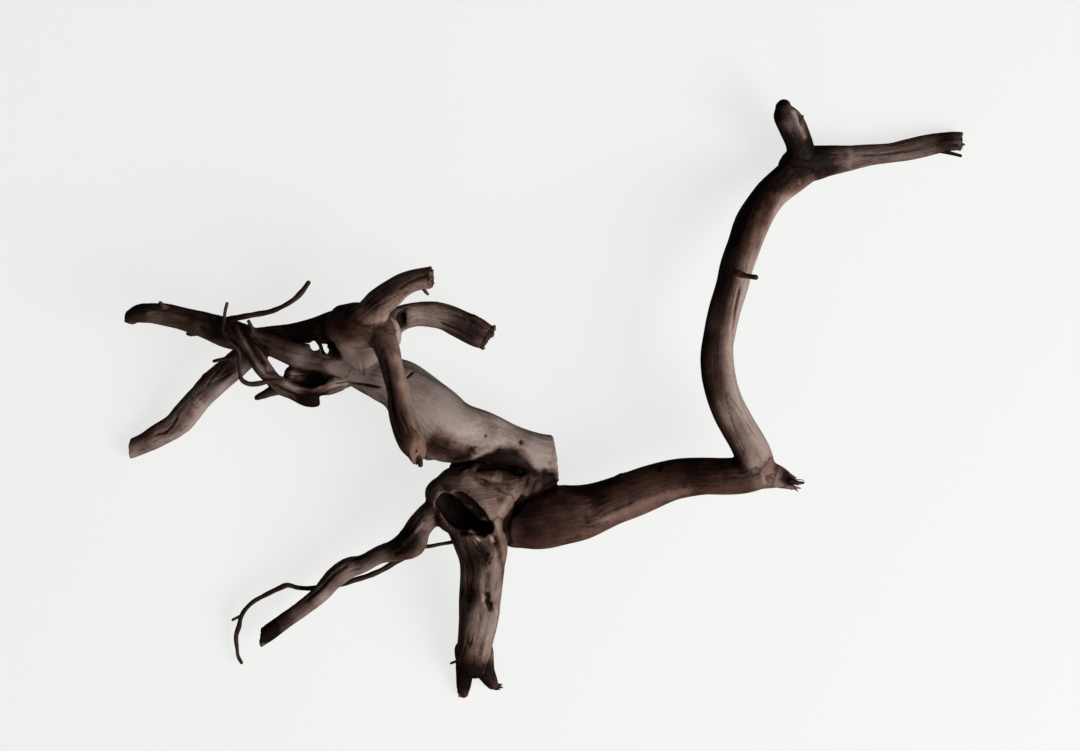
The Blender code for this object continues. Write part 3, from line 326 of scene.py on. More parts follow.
# Soft spots: x, y, z, radius, how far it stands out, how much paler and how much redder it is.
PATCHES = {
    "shoulder_dark": (141.5,132.5,32,12.1,0,-0.5,0.3),
    "arm_high_dark": (125.5,108.5,47,12,0,-0.35,0.2),
    "arm_high_dark_b": (126.5,94.5,50,8.4,0,-0.35,0.1),
    "leg_end_dark": (-44,-168,17,13.4,0,-0.55,0.4),
    # Painted shade in the pit below the hub.
    "leg_pit_dark": (-38,-86,59,8.9,0,-0.5,0.2),
    # Painted light: these three lighten the neck and the middle roots where the crown and the front branch
    # cast their shadows.
    "neck_pale": (-110,25.5,63,13,0,0.9,0.2),
    "mid_pale": (-123.5,17.5,57,11.9,0,0.85,0.2),
    "mid_pale_b": (-146.5,27,55,7.2,0,0.5,0),
    "hub_pale": (-45,-46.5,62,7.7,0,0.35,0.1),
    "root_light": (-136,-117,27,7.3,0,0.35,0),
    "root_light_b": (-68,-71,53,5.4,0,0.2,0),
    "left_low_dark": (-212,46.5,55,7.2,0,-0.25,0),
    "strand_dark": (-173.5,27.5,54,7.2,0,-0.2,0),
    "cup_low_dark": (-139,2,48,9.6,0.6,-1,0.4),
    # Painted shade at the trunk's lower edge.
    "trunk_low_dark": (-52,-32.5,59,8.9,0,-0.5,0.4),
    # Painted shade under the trunk's overhanging lip.
    "strap_dark_a": (-34.5,-37,58,5.1,0,-0.5,0.5),
    "strap_dark_b": (-23.5,-35.5,58,5.4,0,-0.5,0.5),
    "strap_dark_c": (-13,-39.5,53,4.2,0,-0.5,0.5),
    "arm_root_dark": (-6.5,-72,53,17.9,0,-0.2,0.3),
    # Painted light: lightens the low wood left of the cup, which lies in shade.
    "cup_left_pale": (-152,16.5,48,4.2,0,0.4,0),
    "prop_dark_lump": (-206.5,14,30,4.8,0.8,-0.3,0),
    "prop_end_dark": (-242.5,-19,14,5.5,0,-0.2,0),
    # Painted shade on the leg's far facet (leg_dark_a, leg_dark_b) and painted light on its lamp side
    # (leg_pale_a, leg_pale_b).
    "leg_dark_a": (-40,-96.5,54,7.8,0,-0.4,0.2),
    "leg_dark_b": (-42.5,-117,42,6.6,0,-0.42,0.2),
    "leg_pale_a": (-33,-105.5,48,6,0,0.05,0),
    "leg_pale_b": (-38,-137,34,7.3,0,0.2,0),
    "stub_top_dark": (142,178.5,43,5.4,0,-0.4,0.3),
    "shoulder_dark_b": (153,132,27,9.7,0,-0.35,0.2),
    "arm_side_dark": (131.5,107.5,43,7.2,0,-0.3,0.15),
    "arm_side_dark_b": (122.5,89,54,6,0,-0.2,0.2),
    "side_pale": (-78.5,52.5,59,7.1,0,0.3,0),
    "arm_mid_dark": (14.5,-63.5,53,13.1,0,-0.2,0.2),
    "hub_wall_dark": (-61,-70.5,57,5.4,0,-0.2,0.2),
    "hub_wall_dark_b": (-66.5,-60.5,56,4.2,0,-0.05,0.2),
    "rim_low_dark": (-30.5,-83.5,56,5.4,0,-0.3,0.1),
    "web_right_dark": (-8.5,-51,52,5.4,0,-0.3,0.2),
    "prop_end_soft": (-248,-30,10,5.5,0,-0.2,0),
    "side_mid_dark": (-53.5,46.5,52,8.4,0,-0.18,0.1),
    "front_low_dark": (-78.5,-20,112,4.6,0,-0.15,0.2),
    "trunk_shade": (-32,-16,61,8.3,0,-0.22,0),
    # This patch darkens and reddens a spot on the lower trunk.
    "trunk_dark_blot": (-62.5,-23.5,67,7.7,0,-0.18,0.3),
    "shoulder_dark_c": (134,119,39,9,0,-0.5,0.1),
    "arm_low_dark": (100,4.5,70,5.3,0,-0.15,0.1),
    "arm_far_dark": (93,-42.5,57,11.9,0,-0.25,0.1),
    "trunk_light": (-58.5,-0.5,67,14.2,0,0.25,0),
    # Painted light against the shadow of the crown, like the patches above.
    "mid_pale_c": (-116.5,16,60,6.5,0,0.4,0.1),
    "prop_top_dark": (-193,17.5,37,6,0,-0.25,0),
    "crown_top_dark": (-101.5,56.5,82,5.9,0,-0.35,0.2),
    "stub_base_dark": (150,157,35,7.2,0,-0.3,0.2),
    "hub_left_pale": (-63,-50.5,57,4.8,0,0.15,0),
    # Painted shade on the ledge inside the hub's hollow.
    "hub_ledge_dark": (-47.5,-58,58,3.6,0,-0.9,0),
    "hub_ledge_dark_b": (-40.5,-65.5,57,3.6,0,-0.9,0),
    # Painted shade under the trunk's overhanging lip.
    "strap_dark_d": (-27.5,-38.5,46,3,0,-0.6,0.3),
    "elbow_pale": (120.5,-37,62,5.9,0,0.12,0),
    "front_pale": (-87.5,10.5,96,4.1,0,0.3,0.2),
    # The cave patches darken the insides of hollows, pits and clefts: painted shade.
    "hub_cave": (-51,-67.5,39,14.5,0,-0.9,0),
    "hub_cave_left": (-60,-61.5,44,7.2,0,-0.8,0),
    "hub_cave_right": (-38.5,-74,44,6.6,0,-0.8,0),
    "pit_cave": (-36.5,-91.5,52,3.3,-3.2,-1,0),
    "cleft_cave": (-33,-39,59,5.3,0,-0.8,0),
    "cleft_cave_right": (-18,-41,48,4.8,0,-0.8,0),
    "end_cave": (2,-47,48,6.6,-1.2,-0.9,0),
    "web_dip": (-24.5,-52,58,4.8,-0.6,-0.05,0.1),
    "tongue_knob": (-30,-43,64,3,0.3,0.02,0),
    # These two dent the lower trunk and darken it: painted shade at its lower edge.
    "trunk_hollow": (-59,-23.5,67,4.7,-0.8,-0.08,0.2),
    "trunk_low": (-68.5,-26.5,63,8.3,-0.3,-0.25,0.3),
    "trunk_dent": (-44,-28.5,62,2.4,-0.8,-0.35,0),
    "trunk_dot": (-36,-20.5,63,0.8,-0.5,-0.6,0),
    "trunk_notch": (-15,-24.5,55,1.8,-0.7,-0.4,0.1),
    "trunk_band": (-64.5,2,68,5.3,-0.6,-0.15,0),
    "trunk_end_shade": (-3,-29,54,9.5,0,0.35,0.1),
    "crown_dark": (-115,45,74,10.6,0.4,-0.25,0.2),
    "joint_pale": (-90.5,41.5,75,4.7,0.4,0.2,0),
    "joint_crack": (-86.5,49.5,58,4.8,-0.6,-0.6,0.6),
    "left_pale": (-233.5,50.5,52,5.4,0,0.25,0),
    "left_recess": (-198,42,55,5.4,-0.8,-0.3,0),
    # Painted shade inside the cup hollow.
    "cup_cave": (-139.5,14,48,3.9,0,-0.8,0),
    "cup_under": (-140,0.5,48,5.4,0.6,-0.15,0.4),
    "prop_lump": (-211.5,-0.5,26,3.6,0.9,0.15,0),
    "prop_lump_b": (-214.5,-5.5,24,2.4,0.6,0.1,0.4),
    # Painted shade in the recesses beside the gaps.
    "gap_cave": (-147.5,38.5,44,7.2,0,-0.3,0),
    "gap_cave_right": (-123.5,29,59,5.3,-0.6,-0.45,0),
    "flake_dark": (-45.5,42,49,12,0.3,-0.4,0.6),
    "branch_mottle": (-89.5,25,88,3.5,0.3,0.3,0.7),
    "branch_mottle_b": (-82,2,99,3.5,0,0.05,0.6),
    "branch_collar": (-89,9.5,95,3.5,0.4,-0.25,0.2),
    # Painted shade in the knot hole of the leg.
    "leg_cave": (-34,-122,40,2.4,-0.3,-0.6,0),
    "root_pale": (-121.5,-101.5,32,7.3,0,0.2,0),
    "root_knob": (-81,-84.5,51,12,0.6,-0.75,0.2),
    "root_knob_b": (-100,-91.5,39,3.6,0.7,0.1,0),
    "root_tip": (-170,-142.5,20,8.5,0,-0.9,0),
    "arm_bump": (45,-45,45,3,1.2,-0.05,0.2),
    "arm_pit": (67.5,-40,51,1.5,-0.9,-0.5,0),
    "arm_mottle": (32.5,-62,51,7.2,0,-0.08,0.4),
    "arm_spots": (23.5,-72,50,4.8,-0.3,-0.12,0.2),
    # Painted shade in the pit of the elbow stub.
    "elbow_cave": (144,-46,51,4.8,-0.6,-1,0),
    "twig_collar": (115.5,76.5,64,3.3,1,0.3,0),
    "fork_dark": (165.5,146.5,24,16.4,0,-0.7,0.3),
    "stub_dark": (138.5,173.5,38,6,0,-0.5,0.3),
    "tip_dark": (247,157.5,11,9.8,0,-0.45,0),
}

# Fibres that stick out of the broken ends: how many, how long and how wide the bunch is.
SPLINTERED = {
    "fork_right": (3, 2.5, 0.8), "fork_stub": (3, 3.0, 0.8), "elbow_stub": (6, 6.0, 0.9),
    "side_branch": (3, 2.5, 0.8), "upper_branch": (2, 2.0, 0.8), "leg_prong_left": (3, 2.5, 0.9),
    "leg_prong_right": (3, 2.5, 1.0), "front_branch": (2, 2.0, 0.5),
}

# Torn pale fibres at the lower edge of the hollow.
PALE_FIBRES = {
    "rim_a": [(-43.5,-79.5,57.5,0.7), (-41.5,-80.5,60,0.6), (-38.5,-82,62,0.25)],
    "rim_b": [(-46,-79,58,0.65), (-43,-82,61.5,0.5), (-41,-85.5,60,0.25)],
    "rim_c": [(-33.5,-80,57.5,0.7), (-33,-81.5,59.5,0.6), (-32,-85.5,57.5,0.25)],
    "rim_d": [(-38.5,-79.5,56.5,0.6), (-38,-80.5,59.5,0.5), (-38.5,-83.5,61.5,0.25)],
}


def smooth_path(stations, step):
    """Points and radii every step or so along one smooth curve through the stations."""
    values = [Vector(s) for s in stations]
    values = [2 * values[0] - values[1], *values, 2 * values[-1] - values[-2]]
    path = []
    for before, here, there, after in zip(values, values[1:], values[2:], values[3:]):
        pieces = max(1, round((there - here).xyz.length / step))
        for i in range(pieces):
            t = i / pieces
            bend = (2 * before - 5 * here + 4 * there - after) * t * t
            turn = (3 * here - before - 3 * there + after) * t * t * t
            path.append(here + ((there - before) * t + bend + turn) / 2)
    path.append(values[-2])
    return [(p.xyz, max(p.w, 0.15)) for p in path]


def frames_along(path):
    """At each place on the path, the direction of the root and two directions across it."""
    points = [p for p, _ in path]
    side = None
    frames = []
    for i in range(len(points)):
        tangent = (points[min(i + 1, len(points) - 1)] - points[max(i - 1, 0)]).normalized()
        if side is None:
            side = tangent.cross(Vector((0, 0, 1)) if abs(tangent.z) < 0.9 else Vector((1, 0, 0)))
        side = (side - tangent * side.dot(tangent)).normalized()
        frames.append((tangent, side, tangent.cross(side)))
    return frames


def rounded_end(path):
    """The path with its last stretch drawn in to a dome."""
    (centre, radius), (before, _) = path[-1], path[-2]
    ahead = (centre - before).normalized()
    dome = [(0.25, 0.97), (0.5, 0.87), (0.71, 0.7), (0.87, 0.5), (0.97, 0.24)]
    return path + [(centre + ahead * radius * out, radius * wide) for out, wide in dome]


def loft(bm, path, sides, lobes, phase, saw_cut=None, swell_at=None):
    """One closed tube of rings along the path. A saw cut slides the last ring onto its plane."""
    rings = []
    along = 0.0
    before = path[0][0]
    for (centre, radius), (tangent, side, up) in zip(path, frames_along(path)):
        along += (centre - before).length
        before = centre
        ring = []
        for k in range(sides):
            angle = math.tau * k / sides
            swell = 1 + sum(
                size * math.sin(count * (angle + phase) + phase + along * LOBE_TWIST)
                for count, size in lobes
            )
            if swell_at:
                swell *= swell_at(along, angle)
            ring.append(centre + (side * math.cos(angle) + up * math.sin(angle)) * radius * swell)
        rings.append((ring, tangent))
    if saw_cut:
        facing = Vector(saw_cut).normalized()
        centre = path[-1][0]
        for ring, tangent in rings[-CUT_RINGS:]:
            slides = [(centre - p).dot(facing) / tangent.dot(facing) for p in ring]
            if ring is not rings[-1][0]:
                slides = [min(slide, 0) for slide in slides]
            ring[:] = [p + tangent * slide for p, slide in zip(ring, slides)]
    loops = [[bm.verts.new(p) for p in ring] for ring, _ in rings]
    for lower, upper in zip(loops, loops[1:]):
        for k in range(sides):
            n = (k + 1) % sides
            bm.faces.new((lower[k], lower[n], upper[n], upper[k]))
    bm.faces.new(reversed(loops[0]))
    bm.faces.new(loops[-1])


def add_object(name, bm, collection=None):
    bmesh.ops.recalc_face_normals(bm, faces=bm.faces)
    mesh = bpy.data.meshes.new(name)
    bm.to_mesh(mesh)
    bm.free()
    obj = bpy.data.objects.new(name, mesh)
    (collection or bpy.context.scene.collection).objects.link(obj)
    return obj


def apply_modifiers(obj):
    graph = bpy.context.evaluated_depsgraph_get()
    mesh = bpy.data.meshes.new_from_object(obj.evaluated_get(graph))
    obj.modifiers.clear()
    obj.data = mesh


def remesh(obj):
    modifier = obj.modifiers.new("remesh", "REMESH")
    modifier.mode = "VOXEL"
    modifier.voxel_size = VOXEL
    apply_modifiers(obj)


def phase_of(name):
    """A number of its own for each name, so that no two roots swell alike."""
    return sum(map(ord, name)) % 17


def rough_wood():
    """The thick roots grown together, with the hollows cut out. Still in millimetres."""
    bm = bmesh.new()
    for name, stations in HEAVY_ROOTS.items():
        path = smooth_path(stations, HEAVY_STEP)
        path = rounded_end(path[::-1])[::-1]
        if name in ROUND_ENDS:
            path = rounded_end(path)
        loft(bm, path, HEAVY_SIDES, LOBES, phase_of(name), SAW_CUTS.get(name))
    wood = add_object("weathered_root", bm)
    remesh(wood)
    group = bpy.data.collections.new("hollows")
    bpy.context.scene.collection.children.link(group)
    for name, stations in HOLLOWS.items():
        bm = bmesh.new()
        path = rounded_end(rounded_end(smooth_path(stations, HEAVY_STEP)[::-1])[::-1])
        loft(bm, path, HOLLOW_SIDES, HOLLOW_LOBES, phase_of(name))
        add_object(name, bm, group)
    hollow = wood.modifiers.new("hollows", "BOOLEAN")
    hollow.operation = "DIFFERENCE"
    hollow.solver = "MANIFOLD"
    hollow.operand_type = "COLLECTION"
    hollow.collection = group
    apply_modifiers(wood)
    for obj in list(group.objects):
        bpy.data.objects.remove(obj, do_unlink=True)
    bpy.data.collections.remove(group)
    remesh(wood)
    return wood


def table_of(rows, key, columns, kind=float):
    """One property of Blender's rows as an array."""
    values = np.empty(len(rows) * columns, dtype=kind)
    rows.foreach_get(key, values)
    return values.reshape(-1, columns)


def points_of(mesh):
    return table_of(mesh.vertices, "co", 3)


def normals_of(mesh):
    return table_of(mesh.vertex_normals, "vector", 3)


def edges_of(mesh):
    return table_of(mesh.edges, "vertices", 2, np.int64)


def set_points(mesh, points):
    mesh.vertices.foreach_set("co", points.astype(np.float32).ravel())
    mesh.update()


def neighbour_mean(values, edges, counts):
    """The mean over each vertex's neighbours."""
    columns = values.reshape(len(values), -1)
    total = np.empty_like(columns)
    for k in range(columns.shape[1]):
        column = columns[:, k]
        total[:, k] = np.bincount(edges[:, 0], column[edges[:, 1]], len(column))
        total[:, k] += np.bincount(edges[:, 1], column[edges[:, 0]], len(column))
    return (total / counts[:, None]).reshape(values.shape)


def soften(points, edges, share):
    """Rounds the creases off without thinning the wood. Share is how far each vertex takes part."""
    counts = np.bincount(edges.ravel(), minlength=len(points)).astype(float)
    for _ in range(SOFTENING_ROUNDS):
        for strength in (0.55, -0.57):
            points = points + strength * share * (neighbour_mean(points, edges, counts) - points)
    return points


def noise(points, seed):
    """Smooth random values from about -1 to 1 at an array of points."""
    cell = np.floor(points).astype(np.int64)
    part = points - cell
    fade = part ** 3 * (part * (part * 6 - 15) + 10)
    total = np.zeros(len(points))
    for corner in itertools.product((0, 1), repeat=3):
        at = cell + corner
        mixed = at[:, 0] * 73856093 ^ at[:, 1] * 19349663 ^ at[:, 2] * 83492791 ^ (seed + 1) * 2654435761
        mixed = (mixed ^ (mixed >> 15)) * 2246822519 & 0xFFFFFFFF
        mixed = (mixed ^ (mixed >> 13)) * 3266489917 & 0xFFFFFFFF
        away = part - corner
        slope = sum(
            (((mixed >> shift) & 1023) / 511.5 - 1) * away[:, axis] for axis, shift in enumerate((0, 10, 20))
        )
        weight = np.prod(np.where(corner, fade, 1 - fade), axis=1)
        total += slope * weight
    return total * 1.6


def step_up(low, high, values):
    """Rises smoothly from 0 at low to 1 at high."""
    t = np.clip((values - low) / (high - low), 0, 1)
    return t * t * (3 - 2 * t)


def follow_root(points, stations):
    """For points near a root: which they are, how far from its axis in radii, its radius and their grain.

    At a bend the pieces of the axis share a point by how near each is, so the grain has no seams.
    """
    path = smooth_path(stations, 6.0)
    frames = np.array(frames_along(path))
    axis = np.array([p for p, _ in path])
    radii = np.array([r for _, r in path])
    reach = radii.max() + ROOT_REACH
    near = np.nonzero(
        np.all((points > axis.min(0) - reach) & (points < axis.max(0) + reach), axis=1)
    )[0]
    spot = points[near]
    pieces = len(path) - 1
    away = np.empty((pieces, len(near)))
    place = np.empty((pieces, 4, len(near)))
    along = 0.0
    for i in range(pieces):
        run = axis[i + 1] - axis[i]
        length = np.linalg.norm(run)
        beside = (spot - axis[i]) @ run / length ** 2
        t = np.clip(beside, 0, 1)
        radius = radii[i] + t * (radii[i + 1] - radii[i])
        away[i] = np.linalg.norm(spot - axis[i] - t[:, None] * run, axis=1) / radius
        beside = np.clip(beside, -2, 3)
        off = spot - (axis[i] + beside[:, None] * run)
        side, up = (frames[i, k] + t[:, None] * (frames[i + 1, k] - frames[i, k]) for k in (1, 2))
        place[i] = along + beside * length, (off * side).sum(1), (off * up).sum(1), radius
        along += length
    best = away.min(0)
    share = np.exp(-BEND_SHARPNESS * (away - best))
    share /= share.sum(0)
    grain = np.einsum("in,ikn->nk", share, place)
    return near, best, grain[:, 3], grain[:, :3]


class Wood:
    """What the roots say about each vertex of a mesh."""

    def __init__(self, points, roots):
        self.near = {}
        nearest = np.full(len(points), 1e9)
        for name, stations in roots.items():
            found = follow_root(points, stations)
            self.near[name] = found
            np.minimum.at(nearest, found[0], found[1])
        self.weights = {}
        total = np.zeros(len(points))
        for name, (which, q, _, _) in self.near.items():
            weight = np.exp(-ROOT_SHARPNESS * (q - nearest[which]))
            self.weights[name] = weight
            total[which] += weight
        self.count = len(points)
        for name, (which, _, _, _) in self.near.items():
            self.weights[name] = self.weights[name] / total[which]

    def blend(self, values_of):
        """The mean of what each nearby root says, by how near it is."""
        total = np.zeros(self.count)
        for name, (which, q, radius, grain) in self.near.items():
            total[which] += self.weights[name] * values_of(name, radius, grain)
        return total

    def grain(self):
        """The grain coordinates of the nearest root."""
        best = np.zeros(self.count)
        result = np.zeros((self.count, 3))
        for name, (which, _, _, grain) in self.near.items():
            weight = self.weights[name]
            better = weight > best[which]
            best[which[better]] = weight[better]
            result[which[better]] = grain[better] + GRAIN_SHIFT * phase_of(name)
        return result


def relief(name, radius, grain):
    """How far the surface stands out, in millimetres: swellings, long flutes, splits and fine fibres."""
    at = grain + RELIEF_SHIFT * phase_of(name)
    thick = np.clip(radius / 11, 0.25, 1.3)
    rugged = ROOT_LOOKS[name][2]
    swell = 0.7 * thick * noise(at * (0.045, 0.06, 0.06), 1)
    flutes = 0.5 * thick * noise(at * (0.02, 0.16, 0.16), 2)
    flutes += 0.3 * thick * noise(at * (0.035, 0.33, 0.33), 3)
    line = 1 - np.abs(noise(at * (0.022, 0.21, 0.21), 4))
    where = step_up(0.0, 0.5, noise(at * (0.03, 0.05, 0.05), 5))
    splits = -0.8 * np.minimum(thick, 1) * step_up(0.88, 1.0, line) * where
    fibres = 0.12 * noise(at * (0.12, 0.8, 0.8), 6)
    return swell + rugged * (flutes + splits + fibres)


def end_of(name):
    """The middle of a root's free end, the way the end faces, and its radius."""
    path = smooth_path(HEAVY_ROOTS[name], HEAVY_STEP)
    tangent = path[-1][0] - path[-2][0]
    facing = Vector(SAW_CUTS.get(name, tangent)).normalized()
    return np.array(path[-1][0]), np.array(facing), path[-1][1]


def distance_to_line(spots, line):
    """How far spots are from a line in plan, and how far along it, from 0 to 1."""
    best = np.full(len(spots), 1e9)
    along = np.zeros(len(spots))
    pieces = len(line) - 1
    for i in range(pieces):
        run = line[i + 1] - line[i]
        t = np.clip((spots - line[i]) @ run / (run @ run), 0, 1)
        away = np.linalg.norm(spots - line[i] - t[:, None] * run, axis=1)
        closer = away < best
        best[closer] = away[closer]
        along[closer] = (i + t[closer]) / pieces
    return best, along


class Marks:
    """What the listed marks add at each vertex: height in millimetres, tone, redness and freshness."""

    def __init__(self, points, normals):
        self.height, self.tone, self.red, self.fresh = (np.zeros(len(points)) for _ in range(4))
        upper = normals[:, 2] > STROKE_FACING
        for z, width, rise, shade, line in STROKES.values():
            line = np.array(line, dtype=float)
            low, high = line.min(0) - STROKE_WIDTHS * width, line.max(0) + STROKE_WIDTHS * width
            inside = np.all((points[:, :2] > low) & (points[:, :2] < high), axis=1)
            which = np.nonzero(inside & upper & (np.abs(points[:, 2] - z) < STROKE_HEIGHT))[0]
            away, along = distance_to_line(points[which, :2], line)
            wander = 0.8 * noise(points[which] * 0.25, 21)
            share = np.exp(-((away + wander * 0.3 * width) / width) ** 2)
            share *= step_up(0.0, 0.15, along) * step_up(1.0, 0.85, along)
            self.add(which, share, rise, shade)
        for x, y, z, radius, rise, shade, redder in PATCHES.values():
            away = points - (x, y, z)
            away[:, 2] *= 0.7
            distance = np.linalg.norm(away, axis=1)
            which = np.nonzero(distance < PATCH_RADII * radius)[0]
            ragged = 1 + 0.35 * noise(points[which] * (1.6 / radius), 22)
            share = np.exp(-(distance[which] * ragged / radius) ** 2 * 1.2)
            self.add(which, share, rise, shade, redder)
        for name, (ragged, shade, fresh) in ENDS.items():
            centre, facing, radius = end_of(name)
            depth = (points - centre) @ facing
            out = np.linalg.norm(points - centre - depth[:, None] * facing, axis=1)
            which = np.nonzero((np.abs(depth) < END_DEPTH) & (out < END_RADII * radius))[0]
            face = step_up(2.2, 0.9, np.abs(depth[which]))
            coarse, fine = noise(points[which] * 0.42, 24), noise(points[which] * 1.1, 25)
            self.add(which, face, ragged * (coarse + 0.3 * fine), shade)
            self.fresh[which] = np.maximum(self.fresh[which], face * fresh)

    def add(self, which, share, rise, shade, redder=0):
        self.height[which] += rise * share
        self.tone[which] += shade * share
        self.red[which] += redder * share


def dress(obj, roots, looks):
    """Gives the mesh the attributes that its material reads."""
    mesh = obj.data
    points = points_of(mesh)
    normals = normals_of(mesh)
    edges = edges_of(mesh)
    counts = np.bincount(edges.ravel(), minlength=len(points)).astype(float)
    wood = Wood(points, roots)
    length = np.linalg.norm(points[edges[:, 0]] - points[edges[:, 1]], axis=1).mean()
    hollow = ((neighbour_mean(points, edges, counts) - points) * normals).sum(1) / length ** 2
    sharp = hollow.copy()
    for _ in range(round(CREVICE_AREA / length ** 2)):
        hollow = 0.5 * hollow + 0.5 * neighbour_mean(hollow, edges, counts)
    marks = Marks(points, normals)
    # Painted light and shade: wood that faces the key lamp is made paler, and wood that faces away is made
    # darker.
    facing = normals @ PAINTED_LIGHT_SIDE
    painted_side_light = wood.blend(lambda name, radius, grain: looks(name)[3])
    painted_side_light *= np.where(facing > 0, facing, 0.6 * facing)
    values = {
        "tone": wood.blend(lambda name, radius, grain: looks(name)[0]) + marks.tone + painted_side_light,
        "red": wood.blend(lambda name, radius, grain: looks(name)[1]) + marks.red,
        "fresh": marks.fresh,
        # Concave wood is darkened, partly as dirt and partly as painted shade; convex ridges are made paler
        # as wear.
        "crevice": np.clip(45 * hollow + 18 * sharp, -0.8, 1.5),
    }
    for name, value in values.items():
        mesh.attributes.new(name, "FLOAT", "POINT").data.foreach_set("value", value.astype(np.float32))
    grain = mesh.attributes.new("grain", "FLOAT_VECTOR", "POINT")
    grain.data.foreach_set("vector", wood.grain().astype(np.float32).ravel())


def finish_piece(obj):
    """Puts a piece that was made in millimetres into the scene's metres."""
    points = points_of(obj.data)
    points[:, 2] = np.maximum(points[:, 2], 0.0)
    set_points(obj.data, points * MM)
    obj.data.shade_smooth()
    obj.data.materials.clear()
    obj.data.materials.append(material)
    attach(obj, "root")
    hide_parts("moor_root")


def fine_wood():
    """The thick wood, softened, given its relief and thinned to its number of triangles."""
    wood = rough_wood()
    mesh = wood.data
    points = points_of(mesh)
    edges = edges_of(mesh)
    where = Wood(points, HEAVY_ROOTS)
    radius = where.blend(lambda name, radius, grain: radius)
    share = np.clip((radius - 1.5) / 6, 0.1, 1)
    for name in ENDS:
        centre, _, wide = end_of(name)
        share *= 1 - 0.8 * np.exp(-(np.linalg.norm(points - centre, axis=1) / (1.1 * wide)) ** 4)
    points = soften(points, edges, share[:, None])
    set_points(mesh, points)
    where = Wood(points, HEAVY_ROOTS)
    normals = normals_of(mesh)
    height = where.blend(relief) + Marks(points, normals).height
    points = points + normals * height[:, None]
    set_points(mesh, points)
    if 2 * len(mesh.polygons) > WOOD_TRIANGLES:
        reduce = wood.modifiers.new("reduce", "DECIMATE")
        reduce.ratio = WOOD_TRIANGLES / (2 * len(mesh.polygons))
        reduce.use_collapse_triangulate = True
        apply_modifiers(wood)
    dress(wood, HEAVY_ROOTS, ROOT_LOOKS.get)
    finish_piece(wood)


def thin_piece(name, bm, roots, look):
    """Makes one piece of the thin strands in bm, which all look the same."""
    piece = add_object(name, bm)
    dress(piece, roots, lambda root: look)
    finish_piece(piece)


def fine_rootlets():
    bm = bmesh.new()
    for name, stations in ROOTLETS.items():
        phase = phase_of(name)

        def swell(along, angle):
            knots = 0.1 * math.sin(along * 0.45 + phase) * math.sin(along * 0.17)
            return 1 + knots + 0.07 * math.sin(2 * angle + along * 0.2 + phase)

        loft(bm, rounded_end(smooth_path(stations, 1.5)), ROOTLET_SIDES, LOBES, phase, swell_at=swell)
    thin_piece("rootlets", bm, ROOTLETS, ROOTLET_LOOK)


def splinters():
    """Torn fibres round the broken ends, each with its root sunk in the wood."""
    draw = random.Random(5)
    bm = bmesh.new()
    for name, (count, length, spread) in SPLINTERED.items():
        centre, facing, radius = end_of(name)
        centre, facing = Vector(centre), Vector(facing)
        across = facing.orthogonal().normalized()
        for k in range(count):
            turn = Quaternion(facing, math.tau * (k + draw.random()) / count)
            out = turn @ across
            base = centre + out * radius * spread * draw.uniform(0.5, 0.95) - facing * 2.5
            reach = length * draw.uniform(0.4, 1.0)
            lean = (facing + out * draw.uniform(-0.1, 0.45)).normalized()
            bow = out * draw.uniform(-0.8, 0.8)
            wide = draw.uniform(0.45, 0.9)
            stations = [
                (*base, wide), (*(base + lean * (2.5 + reach * 0.5) + bow), wide * 0.8),
                (*(base + lean * (2.5 + reach)), 0.2),
            ]
            loft(bm, smooth_path(stations, 1.2), 5, SPLINTER_LOBES, draw.uniform(0, 6))
    thin_piece("splinters", bm, HEAVY_ROOTS, SPLINTER_LOOK)


def pale_fibres():
    bm = bmesh.new()
    for name, stations in PALE_FIBRES.items():
        loft(bm, smooth_path(stations, 1.0), 6, SPLINTER_LOBES, phase_of(name))
    thin_piece("pale_fibres", bm, HEAVY_ROOTS, FIBRE_LOOK)


class Nodes:
    """Short names for the nodes that the material is made of."""

    def __init__(self, tree):
        self.tree = tree

    def add(self, kind, values=(), **settings):
        node = self.tree.nodes.new(kind)
        for key, value in settings.items():
            setattr(node, key, value)
        for socket, value in dict(values).items():
            if isinstance(value, bpy.types.NodeSocket):
                self.tree.links.new(value, node.inputs[socket])
            else:
                node.inputs[socket].default_value = value
        return node

    def attribute(self, name, output="Fac"):
        return self.add("ShaderNodeAttribute", attribute_name=name).outputs[output]

    def math(self, operation, *values):
        return self.add("ShaderNodeMath", dict(enumerate(values)), operation=operation).outputs[0]

    def stretch(self, vector, scale):
        return self.add("ShaderNodeVectorMath", {0: vector, 1: scale}, operation="MULTIPLY").outputs[0]

    def noise(self, vector, scale, detail, roughness):
        values = {"Vector": vector, "Scale": scale, "Detail": detail, "Roughness": roughness}
        return self.add("ShaderNodeTexNoise", values).outputs["Fac"]

    def between(self, value, low, high, to_low=0.0, to_high=1.0):
        values = {"Value": value, "From Min": low, "From Max": high, "To Min": to_low, "To Max": to_high}
        return self.add("ShaderNodeMapRange", values, clamp=True).outputs[0]

    def mix(self, share, first, second, blend="MIX"):
        values = {0: share, 6: first, 7: second}
        return self.add("ShaderNodeMix", values, data_type="RGBA", blend_type=blend).outputs[2]


BLACK = (0.006, 0.0028, 0.0018, 1)
DARK = (0.021, 0.0097, 0.0064, 1)
BROWN = (0.052, 0.027, 0.0195, 1)
TAN = (0.135, 0.088, 0.070, 1)
PALE = (0.30, 0.235, 0.205, 1)
REDDISH = (1.1, 0.78, 0.66, 1)
FRESH = (0.22, 0.10, 0.066, 1)


